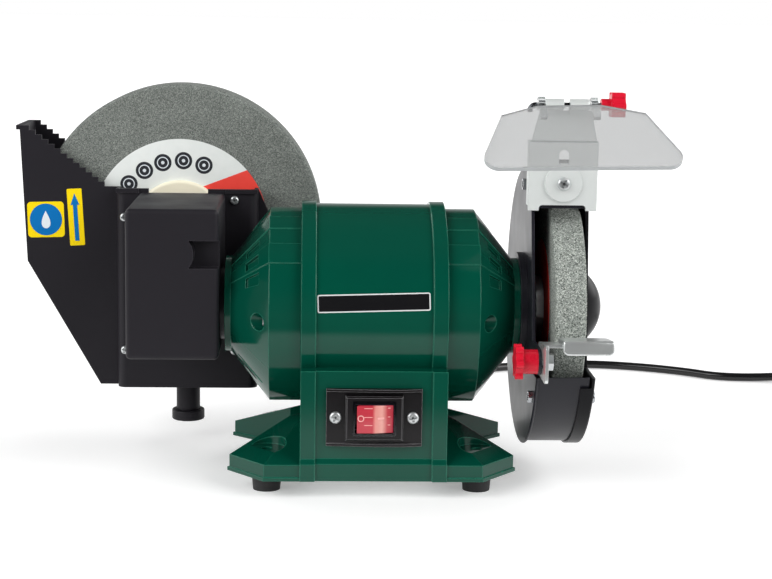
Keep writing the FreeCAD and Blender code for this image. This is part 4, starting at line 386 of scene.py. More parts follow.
def stone(name, body_tone, dark_grain, light_grain, grit, depth):
    """Bonded abrasive: grains of three tones with pits between them, drawn at the given grit
    width in mm, which is coarser than the real grain so that it shows."""
    material, tree, place = new_material(name)
    grains = node(tree, "ShaderNodeTexVoronoi", {"Vector": place, "Scale": per_mm(grit)})
    shade = node(tree, "ShaderNodeSeparateColor", {0: grains["Color"]})[0]
    tones = node(tree, "ShaderNodeValToRGB", {0: shade})[0]
    dark, light = [(0.0, dark_grain), (0.16, dark_grain)], [(0.9, light_grain)]
    set_stops(tones, dark + [(0.3, body_tone), (0.72, body_tone)] + light)
    patches = node(
        tree, "ShaderNodeTexNoise", {"Vector": place, "Scale": per_mm(STONE_PATCH), "Detail": 4.0}
    )[0]
    worn = node(
        tree, "ShaderNodeMapRange",
        {"Value": patches, **NOISE_SPAN, "To Min": STONE_WEAR[0], "To Max": STONE_WEAR[1]},
    )[0]
    tone = node(tree, "ShaderNodeVectorMath", {0: tones, "Scale": worn}, operation="SCALE")[0]
    pits = node(
        tree, "ShaderNodeTexNoise", {"Vector": place, "Scale": per_mm(grit * STONE_PITS), "Detail": 3.0}
    )[0]
    height = node(tree, "ShaderNodeMath", {0: pits, 1: grains["Distance"]}, operation="SUBTRACT")[0]
    bump = node(tree, "ShaderNodeBump", {"Strength": 1.0, "Distance": depth * MM, "Height": height})[0]
    surface = node(
        tree, "ShaderNodeBsdfPrincipled",
        {"Base Color": tone, "Roughness": 0.85, "IOR": 1.6, "Normal": bump},
    )[0]
    node(tree, "ShaderNodeOutputMaterial", {"Surface": surface})
    return material


# Vitrified corundum: the wet stone is darker and finer than the dry one
wet_stone = stone("wet_corundum_stone", "#6E736E", "#4E534F", "#8E938D", 0.5, 0.06)
dry_stone = stone("dry_corundum_stone", "#868C86", "#4C524D", "#B8BDB6", 0.6, 0.1)


HAZE_PATCH, SHADOW_TINT = 20, "#F7F7F7"


def clear(name, colour, rough, ior, clearness=1.0):
    """A see-through moulding, which lets the lamps' light through to what is behind it. What
    its clearness lacks is haze."""
    material, tree, place = new_material(name)
    haze = node(
        tree, "ShaderNodeTexNoise", {"Vector": place, "Scale": per_mm(HAZE_PATCH), "Detail": 3.0}
    )[0]
    dull = node(tree, "ShaderNodeMapRange", {"Value": haze, "To Min": rough[0], "To Max": rough[1]})[0]
    surface = node(
        tree, "ShaderNodeBsdfPrincipled",
        {"Base Color": linear(colour), "Roughness": dull, "IOR": ior, "Transmission Weight": clearness},
    )[0]
    through = node(tree, "ShaderNodeBsdfTransparent", {"Color": linear(SHADOW_TINT)})[0]
    shadow = node(tree, "ShaderNodeLightPath")["Is Shadow Ray"]
    both = node(tree, "ShaderNodeMixShader", {0: shadow, 1: surface, 2: through})[0]
    node(tree, "ShaderNodeOutputMaterial", {"Surface": both})
    return material


# Cut polycarbonate sheet: clear, with the faint grey haze of its rubbed surface
polycarbonate = clear("clear_polycarbonate", "#C3C4C4", (0.0, 0.04), 1.58, 0.74)
# Its sawn edges are frosted and pale
frosted_edge = skin("sawn_polycarbonate_edge", "#B9BCBD", "#A9ACAE", 6, 0.6, 0.03, (0.4, 0.55), ior=1.58)
# The hinge lugs are moulded of the same plastic, milkier than the sheet
lug_plastic = clear("moulded_polycarbonate", "#E6E8E8", (0.1, 0.2), 1.3)
# Acrylic moulding round the rocker: clear, with a violet tint
violet_clear = clear("violet_clear_acrylic", "#8C86B8", (0.03, 0.08), 1.49)


# The red field's half height at the axle and how it spreads outwards, and the paper's fibres
FIELD_HALF, FIELD_SLOPE = 22.5, 0.386
FIBRE_PATCH, FIBRE_DEPTH = 6, 0.01


def label_paper():
    """Coated paper of the wet wheel's label: white, with a red field on one side."""
    material, tree, place = new_material("white_and_red_label_paper")
    middle = node(
        tree, "ShaderNodeVectorMath", {0: place, 1: point(WET_X, 0, WET_Z)}, operation="SUBTRACT"
    )[0]
    axes = node(tree, "ShaderNodeSeparateXYZ", {0: middle})
    # The field's two edges spread from the hub, one each way from the axle's height
    rise = node(tree, "ShaderNodeMath", {0: axes["Z"]}, operation="ABSOLUTE")[0]
    spread = {0: axes["X"], 1: FIELD_SLOPE, 2: FIELD_HALF * MM}
    edge = node(tree, "ShaderNodeMath", spread, operation="MULTIPLY_ADD")[0]
    under = node(tree, "ShaderNodeMath", {0: rise, 1: edge}, operation="LESS_THAN")[0]
    right = node(tree, "ShaderNodeMath", {0: axes["X"], 1: 0.0}, operation="GREATER_THAN")[0]
    field = node(tree, "ShaderNodeMath", {0: under, 1: right}, operation="MULTIPLY")[0]
    fibre = node(
        tree, "ShaderNodeTexNoise", {"Vector": place, "Scale": per_mm(FIBRE_PATCH), "Detail": 4.0}
    )[0]
    white = node(
        tree, "ShaderNodeMix", {0: fibre, 6: linear("#EEF1EE"), 7: linear("#E3E8E5")}, data_type="RGBA"
    )[2]
    red = node(
        tree, "ShaderNodeMix", {0: fibre, 6: linear("#FA4B3F"), 7: linear("#F04237")}, data_type="RGBA"
    )[2]
    tone = node(tree, "ShaderNodeMix", {0: field, 6: white, 7: red}, data_type="RGBA")[2]
    bump = node(
        tree, "ShaderNodeBump", {"Strength": 1.0, "Distance": FIBRE_DEPTH * MM, "Height": fibre}
    )[0]
    surface = node(
        tree, "ShaderNodeBsdfPrincipled", {"Base Color": tone, "Roughness": 0.45, "Normal": bump}
    )[0]
    node(tree, "ShaderNodeOutputMaterial", {"Surface": surface})
    return material


white_red_label = label_paper()
# Blotting paper of the dry wheel: dull red
red_paper = skin("red_blotting_paper", "#D8301F", "#C02417", 9, 0.7, 0.02, (0.6, 0.75))
# Vinyl and inks of the stickers and the marks: flat, even colours with a slight gloss
yellow_vinyl = skin(
    "yellow_vinyl", "#FBDC0A", "#F5D300", 12, 2.0, 0.004, (0.3, 0.4), edge=0.1, shine=0.15
)
blue_print = skin("blue_print", "#0672B9", "#046AAE", 10, 1.5, 0.003, (0.3, 0.4), edge=0.1, shine=0.12)
white_print = skin("white_print", "#E9EEF2", "#DDE4EA", 8, 1.5, 0.003, (0.35, 0.45), edge=0.1)
dark_print = skin("dark_grey_print", "#33353A", "#2B2D31", 6, 1.2, 0.004, (0.4, 0.5), edge=0.1, shine=0.2)
pink_print = skin("pink_print", "#F2B4B0", "#E8A39E", 4, 1.0, 0.002, (0.4, 0.5), edge=0.05)
# The barrel's plate: a pale silver border round a deep black screen print
silver_border = skin("pale_silver_print", "#DCDEDE", "#D2D5D5", 9, 0.5, 0.002, (0.3, 0.38), edge=0.1)
black_print = skin(
    "black_screen_print", "#131316", "#0E0E10", 9, 0.9, 0.004, (0.28, 0.36), edge=0.1, shine=0.25
)


# The rocker's tones from left to right over its reach each way in mm, red with a pale painted
# reflection past its ridge and painted shade at its right end, and the clouds in it
ROCKER_REACH, ROCKER_CLOUD = 12, 3
ROCKER_PAINTED_LIGHT = [
    (0.0, "#B9303E"), (0.45, "#BF3442"), (0.53, "#DD8C84"), (0.7, "#E2A096"), (0.84, "#BC3A44"),
    (1.0, "#B02C39"),
]


def rocker_plastic():
    """Translucent polycarbonate of the rocker: red, with a pale painted reflection past its
    ridge and painted shade at its right end.
    """
    material, tree, place = new_material("red_translucent_polycarbonate")
    across = node(tree, "ShaderNodeSeparateXYZ", {0: place})["X"]
    reach = {"Value": across, "From Min": -ROCKER_REACH * MM, "From Max": ROCKER_REACH * MM}
    tones = node(tree, "ShaderNodeMapRange", reach)[0]
    painted_light = node(tree, "ShaderNodeValToRGB", {0: tones})[0]
    set_stops(painted_light, ROCKER_PAINTED_LIGHT)
    cloud = node(
        tree, "ShaderNodeTexNoise", {"Vector": place, "Scale": per_mm(ROCKER_CLOUD), "Detail": 3.0}
    )[0]
    worn = node(tree, "ShaderNodeMapRange", {"Value": cloud, "To Min": 0.92, "To Max": 1.06})[0]
    tone = node(tree, "ShaderNodeVectorMath", {0: painted_light, "Scale": worn}, operation="SCALE")[0]
    dull = node(tree, "ShaderNodeMapRange", {"Value": cloud, "To Min": 0.16, "To Max": 0.28})[0]
    surface = node(
        tree, "ShaderNodeBsdfPrincipled", {"Base Color": tone, "Roughness": dull, "IOR": 1.58}
    )[0]
    node(tree, "ShaderNodeOutputMaterial", {"Surface": surface})
    return material


rocker_red = rocker_plastic()

FINISHES = {
    green_enamel: ("pedestal_base", "motor_barrel", "left_end_bell", "right_end_bell"),
    zinc: ("base_plate", "spark_arrester"),
    black_oxide: ("hinge_rod",),
    zinc_fixing: ("tie_bolts", "tool_rest_bolt", "wet_wheel_nut", "dry_wheel_nut")
    + ("dry_wheel_flanges", "ball_bearings", "bearing_inner_races"),
    ground_steel: ("guard_screws", "motor_shaft", "layshaft", "wet_shaft")
    + ("worm", "worm_wheel", "layshaft_pinion", "output_gear"),
    foot_rubber: ("rubber_feet",),
    core_steel: ("stator_core", "rotor_core"),
    copper_wire: ("stator_windings",),
    bronze: ("gear_bushes",),
    grey_plastic: ("capacitor",),
    black_abs: ("gear_cover", "trough", "drain_cap"),
    smooth_abs: ("switch_plate", "switch_body"),
    black_powder_coat: ("wheel_guard", "guard_spacer", "gear_frame"),
    gloss_black: ("guard_cover",),
    lug_plastic: ("shield_hinge",),
    violet_clear: ("switch_frame",),
    red_knob: ("shield_knob", "tool_rest_knob"),
    cream_nylon: ("wet_wheel_flanges",),
    wet_stone: ("wet_wheel",),
    dry_stone: ("dry_wheel",),
    white_red_label: ("wet_wheel_labels",),
    red_paper: ("dry_wheel_labels",),
}
for finish, names in FINISHES.items():
    for name in names:
        for slot in NODES[name].material_slots:
            slot.material = finish


# Power lead

LEAD_EXIT = (25.0, 100.5, 36.5)
LEAD_ROUTE = [
    (25, 137, 36.5),
    (27, 183, 16.5),
    (33, 228, 3.5),
    (52, 276, 3.5),
    (93, 318, 3.5),
    (147, 343, 3.5),
    (206, 351, 3.5),
    (252, 337, 3.5),
    (286, 318, 3.5),
    (306, 300, 3.5),
    (335, 296, 3.5),
    (368, 298, 4.5),
]
COIL_CENTRE = (407.0, 249.0)
COIL_RADII = [49, 44.5, 40, 35.5, 31, 26.5, 26.5, 31, 35.5, 40, 44.5]
COIL_LOW, COIL_HIGH, COIL_CLIMB_AT = 4.5, 12.2, 5
STEPS_PER_HALF_TURN = 8
# Where the lead leaves the coil: across from its centre, and up from the top of its last turn
COIL_LEAVING = [(1.5, 0.8), (18, -2.5), (34, -13), (43, -28)]
LEAD_END = [(453, 247.5, 12.2), (453, 230, 12.2), (453, 213.5, 12.2)]


def coil_points():
    """Points round the put-away coil: a layer winds in, climbs at its middle, and winds out."""
    turn = math.pi / STEPS_PER_HALF_TURN
    # The line runs inside its points, so they stand a little further out
    spread = 1 / (0.75 + 0.25 * math.cos(turn))
    points = []
    for half, (r0, r1) in enumerate(zip(COIL_RADII, COIL_RADII[1:])):
        z0 = COIL_LOW if half <= COIL_CLIMB_AT else COIL_HIGH
        z1 = COIL_LOW if half < COIL_CLIMB_AT else COIL_HIGH
        for step in range(STEPS_PER_HALF_TURN):
            share = step / STEPS_PER_HALF_TURN
            angle = math.pi / 2 - math.pi * half - turn * step
            r = (r0 + (r1 - r0) * share) * spread
            x, y = COIL_CENTRE[0] + r * math.cos(angle), COIL_CENTRE[1] + r * math.sin(angle)
            points.append((x, y, z0 + (z1 - z0) * share))
    return points


def make_lead():
    """The lead as one line: laid out, coiled, and up to the plug."""
    top = COIL_CENTRE[1] + COIL_RADII[-1]
    last = [(COIL_CENTRE[0] + x, top + y, COIL_HIGH) for x, y in COIL_LEAVING]
    route = [LEAD_EXIT] + LEAD_ROUTE + coil_points() + last + LEAD_END
    curve = bpy.data.curves.new("power_lead", "CURVE")
    curve.dimensions = "3D"
    curve.bevel_depth = CORD_D / 2 * MM
    curve.bevel_resolution = 5
    curve.resolution_u = 6
    curve.use_fill_caps = True
    spline = curve.splines.new("NURBS")
    spline.points.add(len(route) - 1)
    for spot, place in zip(spline.points, route):
        spot.co = (*point(*place), 1.0)
    spline.order_u = 3
    spline.use_endpoint_u = True
    return piece("power_lead", curve, [lead_pvc], "base", ("power_cord", "cord_coil"))


PLUG_AXIS = (453.0, 12.2)
PLUG_FACE, PLUG_TAIL = 165.5, 213.5
# The body's sections: place along the axis, half width, half height, and how square each is
PLUG_SECTIONS = [
    (201.6, 9.6, 9.6, 2.0),
    (200.0, 11.4, 10.4, 2.2),
    (197.0, 14.4, 11.3, 2.6),
    (193.0, 16.6, 11.8, 3.0),
    (188.0, 17.7, 12.0, 3.3),
    (180.0, 18.0, 12.0, 3.5),
    (169.0, 18.0, 12.0, 3.5),
    (166.6, 17.7, 11.7, 3.5),
    (165.5, 16.9, 10.9, 3.5),
]
SECTION_STEP, ROUND = 0.35, 2.0
# The tail is a row of ribs, each with steps along the axis and out from the tail's radius
TAIL_R, TAIL_END, TAIL_PITCH, TAIL_GROWTH = 4.5, 202.5, 2.0, 0.42
TAIL_RIB = [(0.0, 0.0), (0.2, 0.3), (1.3, 0.5), (1.5, 0.1)]
# Where the grip's grooves begin and end, and their pitch, depth, half width and share on the flat sides
GRIP_FROM, GRIP_TO, GRIP_PITCH = 190.0, 176.0, 2.8
GRIP_DEPTH, GRIP_HALF, GRIP_FLATNESS = 0.7, 0.9, 0.4
# The pins' profiles: place from the plug's face, and how far inside the pin's radius
PIN_SPACING, PIN_R, PIN_L, PIN_SLEEVE = 19.0, 2.35, 19.0, 9.5
PIN_ROOT = [(0.4, 0.3), (0.1, 0.05), (-PIN_SLEEVE, 0.05), (-PIN_SLEEVE, 0.5)]
PIN_TIP = [(-PIN_SLEEVE + 0.3, 0.5), (-PIN_SLEEVE, 0.1), (-PIN_L + 1.4, 0.1)]
PIN_TIP += [(-PIN_L + 0.6, 0.5), (-PIN_L + 0.15, 1.1), (-PIN_L + 0.02, 1.8)]


def rounded_section(y, half_width, half_height, square, steps=48):
    """One ring round the plug's axis, between an ellipse and a rectangle."""
    ring = []
    for step in range(steps):
        angle = 2 * math.pi * step / steps
        c, s = math.cos(angle), math.sin(angle)
        u = half_width * math.copysign(abs(c) ** (2 / square), c)
        w = half_height * math.copysign(abs(s) ** (2 / square), s)
        ring.append((PLUG_AXIS[0] + u, y, PLUG_AXIS[1] + w))
    return ring


def plug_sections():
    """The tail's rings step in and out as a ribbed sleeve, and the body has grip ribs."""
    rings = []
    y, r = PLUG_TAIL, TAIL_R
    while y > TAIL_END:
        rings += [(y - along, r + out, r + out, ROUND) for along, out in TAIL_RIB]
        y, r = y - TAIL_PITCH, r + TAIL_GROWTH
    grooves = []
    place = GRIP_FROM
    while place > GRIP_TO:
        grooves.append(place)
        place -= GRIP_PITCH
    body = []
    for a, b in zip(PLUG_SECTIONS, PLUG_SECTIONS[1:]):
        steps = max(1, round((a[0] - b[0]) / SECTION_STEP))
        for step in range(steps):
            share = step / steps
            y, w, h, q = (p + (n - p) * share for p, n in zip(a, b))
            near = min(abs(y - g) for g in grooves)
            dip = GRIP_DEPTH * max(0.0, 1 - near / GRIP_HALF)
            body.append((y, w - dip, h - dip * GRIP_FLATNESS, q))
    return [rounded_section(*s) for s in rings + body + PLUG_SECTIONS[-1:]]


def make_plug():
    """The plug's body with its ribbed tail, and two pins with sleeved roots."""
    shape = bmesh.new()
    loft(shape, plug_sections())
    for side in (-1, 1):
        x = PLUG_AXIS[0] + side * PIN_SPACING / 2
        for finish, profile in enumerate((PIN_ROOT, PIN_TIP)):
            rings = []
            for y, inset in profile:
                ring = circle(PIN_R - inset, 24)
                rings.append([(x + u, PLUG_FACE + y, PLUG_AXIS[1] + w) for u, w in ring])
            loft(shape, rings, finish)
    mesh = finished("mains_plug", shape)
    return piece("mains_plug", mesh, [moulded_pvc, nickel], "base", ("plug",))


# The strap's cross section: how far in from its outside in mm, and the share of its width
TIE_PROFILE = [(0.0, -0.42), (0.0, 0.42), (0.2, 0.5), (0.8, 0.5), (0.8, -0.5), (0.2, -0.5)]
TIE_CORNER, TIE_CREASE = 4.2, 50


def make_tie():
    """A woven strap round the coil's turns, with soft corners."""
    low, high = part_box("cord_tie")
    middle = [(a + b) / 2 / MM for a, b in zip(low, high)]
    width, depth, height = ((b - a) / MM for a, b in zip(low, high))
    rings = []
    for inward, y in TIE_PROFILE:
        outline = rounded_box(width - 2 * inward, height - 2 * inward, TIE_CORNER - inward)
        rings.append([(middle[0] + u, middle[1] + y * depth, middle[2] + v) for u, v in outline])
    shape = bmesh.new()
    loft(shape, rings, closed=True)
    mesh = finished("lead_tie", shape, TIE_CREASE)
    return piece("lead_tie", mesh, [nylon_strap], "base", ("cord_tie",))


power_lead = make_lead()
lead_plug = make_plug()
lead_tie = make_tie()


# Screws, sleeve and label marks

SCREW_SIZES = {
    "Head Radius": "Float", "Rim Height": "Float", "Dome Height": "Float", "Head Height": "Float",
    "Recess Length": "Float", "Recess Width": "Float", "Shank Radius": "Float", "Shank Length": "Float",
    "Facing": "Vector", "Finish": "Material",
}
SCREW_SEED = 4
# The dome's three shrinking steps: share of its height, and of the width before
DOME_STEPS = ((0.55, 0.9), (0.3, 0.8), (0.15, 0.62))
# Shares of a head's height and of its radius
RIM_SHARE, DOME_SHARE, RECESS_LENGTH, RECESS_WIDTH = 0.5, 0.48, 1.3, 0.32


def make_screw_tree():
    """Pan head screws: a domed head with a cross recess on a plain shank, each turned by chance."""
    tree, size = new_tree("pan_head_screws", SCREW_SIZES)
    rim = node(
        tree, "GeometryNodeMeshCylinder",
        {"Vertices": 32, "Radius": size["Head Radius"], "Depth": size["Rim Height"]},
    )
    head, top = rim["Mesh"], rim["Top"]
    for share, shrink in DOME_STEPS:
        rise = node(tree, "ShaderNodeMath", {0: size["Dome Height"], 1: share}, operation="MULTIPLY")[0]
        step = node(
            tree, "GeometryNodeExtrudeMesh", {"Mesh": head, "Selection": top, "Offset Scale": rise},
            mode="FACES",
        )
        top = step["Top"]
        head = node(
            tree, "GeometryNodeScaleElements",
            {"Geometry": step["Mesh"], "Selection": top, "Scale": shrink},
        )[0]
    half_rim = node(tree, "ShaderNodeMath", {0: size["Rim Height"], 1: 0.5}, operation="MULTIPLY")[0]
    lift = node(tree, "ShaderNodeCombineXYZ", {"Z": half_rim})[0]
    head = node(tree, "GeometryNodeTransform", {"Geometry": head, "Translation": lift})[0]
    crown = node(tree, "ShaderNodeCombineXYZ", {"Z": size["Head Height"]})[0]
    bars = []
    for across, along in (("X", "Y"), ("Y", "X")):
        bar = node(
            tree, "ShaderNodeCombineXYZ",
            {across: size["Recess Length"], along: size["Recess Width"], "Z": size["Head Height"]},
        )[0]
        bar = node(tree, "GeometryNodeMeshCube", {"Size": bar})[0]
        bars.append(node(tree, "GeometryNodeTransform", {"Geometry": bar, "Translation": crown})[0])
    head = node(
        tree, "GeometryNodeMeshBoolean", {"Mesh 1": head, "Mesh 2": bars}, operation="DIFFERENCE"
    )[0]
    sink = node(tree, "ShaderNodeMath", {0: size["Shank Length"], 1: -0.5}, operation="MULTIPLY")[0]
    sink = node(tree, "ShaderNodeCombineXYZ", {"Z": sink})[0]
    shank = node(
        tree, "GeometryNodeMeshCylinder",
        {"Vertices": 20, "Radius": size["Shank Radius"], "Depth": size["Shank Length"]},
    )[0]
    shank = node(tree, "GeometryNodeTransform", {"Geometry": shank, "Translation": sink})[0]
    screw = node(tree, "GeometryNodeJoinGeometry", {0: [head, shank]})[0]
    chance = node(
        tree, "FunctionNodeRandomValue", {2: 0.0, 3: math.pi / 2, 8: SCREW_SEED}, data_type="FLOAT"
    )[1]
    spin = node(tree, "FunctionNodeAxisAngleToRotation", {"Axis": (0, 0, 1), "Angle": chance})[0]
    stand = node(tree, "FunctionNodeAlignRotationToVector", {"Vector": size["Facing"]}, axis="Z")[0]
    turn = node(
        tree, "FunctionNodeRotateRotation", {"Rotation": stand, "Rotate By": spin}, rotation_space="LOCAL"
    )[0]
    close_tree(tree, size, screw, turn)
    return tree


SCREW_TREE = make_screw_tree()


def make_screws(name, replaced, places, facing, head, shank):
    """Screws whose heads stand on places in mm, with (radius, height) of head and shank."""
    radius, height = head[0] * MM, head[1] * MM
    sizes = {
        "Head Radius": radius,
        "Rim Height": height * RIM_SHARE,
        "Dome Height": height * DOME_SHARE,
        "Head Height": height,
        "Recess Length": radius * RECESS_LENGTH,
        "Recess Width": radius * RECESS_WIDTH,
        "Shank Radius": shank[0] * MM,
        "Shank Length": shank[1] * MM,
        "Facing": facing,
        "Finish": zinc_fixing,
    }
    mesh = grown(name, SCREW_TREE, places, sizes)
    piece(name, mesh, [zinc_fixing], "base", (replaced,))


FRONTWARD, DOWNWARD = (0.0, -1.0, 0.0), (0.0, 0.0, -1.0)
WIDE_HEAD, TROUGH_HEAD, SPARK_HEAD = (3.85, 2.35), (2.95, 2.15), (4.25, 2.95)
SWITCH_PLACES = [(x, -75.1, 53.7) for x in (-24.6, 24.6)]
TROUGH_PLACES = [(-170.5, 60.0, 70.0), (-170.5, 60.0, 164.0), (-94.0, 60.0, 70.0), (-94.0, 60.0, 176.5)]
UNDER_PLACES = [(x, y, 11.8) for x in (-35.0, 35.0) for y in (-60.0, 60.0)]
make_screws("switch_plate_screws", "switch_screws", SWITCH_PLACES, FRONTWARD, WIDE_HEAD, (2.0, 9.0))
make_screws("trough_panel_screws", "trough_screws", TROUGH_PLACES, FRONTWARD, TROUGH_HEAD, (2.0, 6.4))
make_screws("under_plate_screws", "base_plate_screws", UNDER_PLACES, DOWNWARD, WIDE_HEAD, (2.0, 9.5))

SLEEVE_SIZES = {
    "Flange Radius": "Float", "Flange Thickness": "Float", "Neck Length": "Float", "Root Radius": "Float",
    "End Radius": "Float", "Length": "Float", "Ribs": "Float", "Groove Depth": "Float",
    "Finish": "Material",
}
SLEEVE_PLACE = (25.0, 75.5, 36.5)
# The share of each rib's length that is groove, and of the sleeve's length before the first
GROOVE_SHARE, GROOVES_FROM = 0.42, 0.09


def make_sleeve_tree():
    """A tapered strain relief with grooves round it, a flange, and a neck that goes into the wall."""
    tree, size = new_tree("ribbed_sleeve", SLEEVE_SIZES)
    tube = node(
        tree, "GeometryNodeMeshCylinder",
        {"Vertices": 48, "Side Segments": 120, "Radius": 1.0, "Depth": 1.0},
    )[0]
    axes = node(tree, "ShaderNodeSeparateXYZ", {0: node(tree, "GeometryNodeInputPosition")[0]})
    share = node(tree, "ShaderNodeMath", {0: axes["Z"], 1: 0.5}, operation="ADD")[0]
    cone = node(
        tree, "ShaderNodeMapRange",
        {"Value": share, "To Min": size["Root Radius"], "To Max": size["End Radius"]},
    )[0]
    count = node(tree, "ShaderNodeMath", {0: share, 1: size["Ribs"]}, operation="MULTIPLY")[0]
    part = node(tree, "ShaderNodeMath", {0: count}, operation="FRACT")[0]
    groove = node(tree, "ShaderNodeMath", {0: part, 1: GROOVE_SHARE}, operation="LESS_THAN")[0]
    begun = node(tree, "ShaderNodeMath", {0: share, 1: GROOVES_FROM}, operation="GREATER_THAN")[0]
    cut = node(tree, "ShaderNodeMath", {0: groove, 1: begun}, operation="MULTIPLY")[0]
    cut = node(tree, "ShaderNodeMath", {0: cut, 1: size["Groove Depth"]}, operation="MULTIPLY")[0]
    radius = node(tree, "ShaderNodeMath", {0: cone, 1: cut}, operation="SUBTRACT")[0]
    across = node(tree, "ShaderNodeMath", {0: axes["X"], 1: radius}, operation="MULTIPLY")[0]
    up = node(tree, "ShaderNodeMath", {0: axes["Y"], 1: radius}, operation="MULTIPLY")[0]
    along = node(tree, "ShaderNodeMath", {0: share, 1: size["Length"]}, operation="MULTIPLY")[0]
    place = node(tree, "ShaderNodeCombineXYZ", {"X": across, "Y": up, "Z": along})[0]
    parts = [node(tree, "GeometryNodeSetPosition", {"Geometry": tube, "Position": place})[0]]
    for wide, deep in (("Flange Radius", "Flange Thickness"), ("Root Radius", "Neck Length")):
        disc = node(
            tree, "GeometryNodeMeshCylinder", {"Vertices": 48, "Radius": size[wide], "Depth": size[deep]}
        )[0]
        sink = node(tree, "ShaderNodeMath", {0: size[deep], 1: -0.5}, operation="MULTIPLY")[0]
        sink = node(tree, "ShaderNodeCombineXYZ", {"Z": sink})[0]
        parts.append(node(tree, "GeometryNodeTransform", {"Geometry": disc, "Translation": sink})[0])
    sleeve = node(tree, "GeometryNodeJoinGeometry", {0: parts})[0]
    # The sleeve is made upright and points to the back
    lie = node(tree, "FunctionNodeAlignRotationToVector", {"Vector": (0, 1, 0)}, axis="Z")[0]
    close_tree(tree, size, sleeve, lie)
    return tree


sleeve_sizes = {
    "Flange Radius": 9.5 * MM,
    "Flange Thickness": 3.0 * MM,
    "Neck Length": 9.5 * MM,
    "Root Radius": 7.0 * MM,
    "End Radius": 4.6 * MM,
    "Length": 25.0 * MM,
    "Ribs": 8.6,
    "Groove Depth": 0.8 * MM,
    "Finish": moulded_pvc,
}
sleeve_mesh = grown("lead_sleeve", make_sleeve_tree(), [SLEEVE_PLACE], sleeve_sizes)
piece("lead_sleeve", sleeve_mesh, [moulded_pvc], "base", ("cord_gland",))

MARK_SIZES = {"Radius": "Float", "Line": "Float", "Thickness": "Float", "Finish": "Material"}
MARK_R, MARK_CIRCLE, MARK_ANGLES = 6.1, 46.8, (140.1, 122.3, 105.0, 87.1, 69.1)
MARK_LINE, DISC_T, PRINT_T, RING_SHARE, DOT_SHARE = 0.7, 0.12, 0.2, 0.62, 0.2


def make_mark_tree(name, hollow):
    """Flat marks that face the front: discs, or rings of a given line width."""
    tree, size = new_tree(name, MARK_SIZES)
    if hollow:
        path = node(
            tree, "GeometryNodeCurvePrimitiveCircle", {"Resolution": 40, "Radius": size["Radius"]}
        )[0]
        line = node(
            tree, "GeometryNodeCurvePrimitiveQuadrilateral",
            {"Width": size["Line"], "Height": size["Thickness"]},
        )[0]
        mark = node(tree, "GeometryNodeCurveToMesh", {"Curve": path, "Profile Curve": line})[0]
    else:
        mark = node(
            tree, "GeometryNodeMeshCylinder",
            {"Vertices": 40, "Radius": size["Radius"], "Depth": size["Thickness"]},
        )[0]
    face = node(tree, "FunctionNodeAlignRotationToVector", {"Vector": (0, -1, 0)}, axis="Z")[0]
    close_tree(tree, size, mark, face)
    return tree


def make_label_marks():
    """Five plain round marks along the wet wheel's label, each with a pale ring and a dot."""
    places = []
    for angle in MARK_ANGLES:
        turn = math.radians(angle)
        across, up = MARK_CIRCLE * math.cos(turn), MARK_CIRCLE * math.sin(turn)
        places.append((WET_X + across, WET_LABEL_FRONT, WET_Z + up))
    for name, hollow, radius, thickness, finish in (
        ("label_discs", False, MARK_R, DISC_T, dark_print),
        ("label_rings", True, MARK_R * RING_SHARE, PRINT_T, white_print),
        ("label_dots", False, MARK_R * DOT_SHARE, PRINT_T, white_print),
    ):
        sizes = {"Radius": radius * MM, "Line": MARK_LINE * MM}
        sizes |= {"Thickness": thickness * MM, "Finish": finish}
        mesh = grown(name, make_mark_tree(name, hollow), places, sizes)
        piece(name, mesh, [finish], "wet_wheel")


make_label_marks()


# Stickers, plate, rocker, shield and sheet metal

STICKER_LAYER, STICKER_ROOT = 0.14, 0.02
# The stickers' middles (across and up) and tilts, their sizes with corners, and what is on them
SQUARE_AT, SQUARE_TILT, SQUARE_SIZE, DISC_R = (-226.2, 160.3), 1.6, (25.5, 25.0, 2.6), 11.2
STRIP_AT, STRIP_TILT, STRIP_SIZE = (-205.4, 162.2), 3.2, (10.4, 40.0, 0.7)
DROP_HALF_WIDTH, DROP_HALF_HEIGHT, DROP_POINT, DROP_STEPS = 4.2, 6.2, 1.3, 36
ARROW = [(0, 16.7), (-3.1, 8.6), (-1.5, 8.6), (-1.5, -16.7), (1.5, -16.7), (1.5, 8.6), (3.1, 8.6)]


def sticker_layer(shape, outline, centre, tilt, level, finish):
    """A thin printed layer on the trough's front, whose outline is in mm about its centre."""
    c, s = math.cos(math.radians(tilt)), math.sin(math.radians(tilt))
    front = TROUGH_FRONT - STICKER_LAYER * level
    flat = [(centre[0] + u * c - v * s, centre[1] + u * s + v * c) for u, v in outline]
    depths = (front - STICKER_LAYER, front + STICKER_ROOT)
    loft(shape, [[(x, y, z) for x, z in flat] for y in depths], finish)


def make_stickers():
    """A yellow square with a drop on a blue disc, and a yellow strip with a blue arrow."""
    drop = []
    for step in range(DROP_STEPS):
        t = 2 * math.pi * step / DROP_STEPS
        narrow = abs(math.sin(t / 2)) ** DROP_POINT
        drop.append((DROP_HALF_WIDTH * math.sin(t) * narrow, DROP_HALF_HEIGHT * math.cos(t)))
    shape = bmesh.new()
    for level, outline in enumerate((rounded_box(*SQUARE_SIZE), circle(DISC_R), drop)):
        sticker_layer(shape, outline, SQUARE_AT, SQUARE_TILT, level, level)
    for level, outline in enumerate((rounded_box(*STRIP_SIZE), ARROW)):
        sticker_layer(shape, outline, STRIP_AT, STRIP_TILT, level, level)
    mesh = finished("trough_stickers", shape)
    piece("trough_stickers", mesh, [yellow_vinyl, blue_print, white_print], "base")


# The barrel's plate: its middle across, its size, its place above the axle and its tilt in degrees
PLATE_CENTRE, PLATE_SIZE, PLATE_ABOVE, PLATE_TILT = -0.7, (71.8, 11.5), 10.3, 1.75
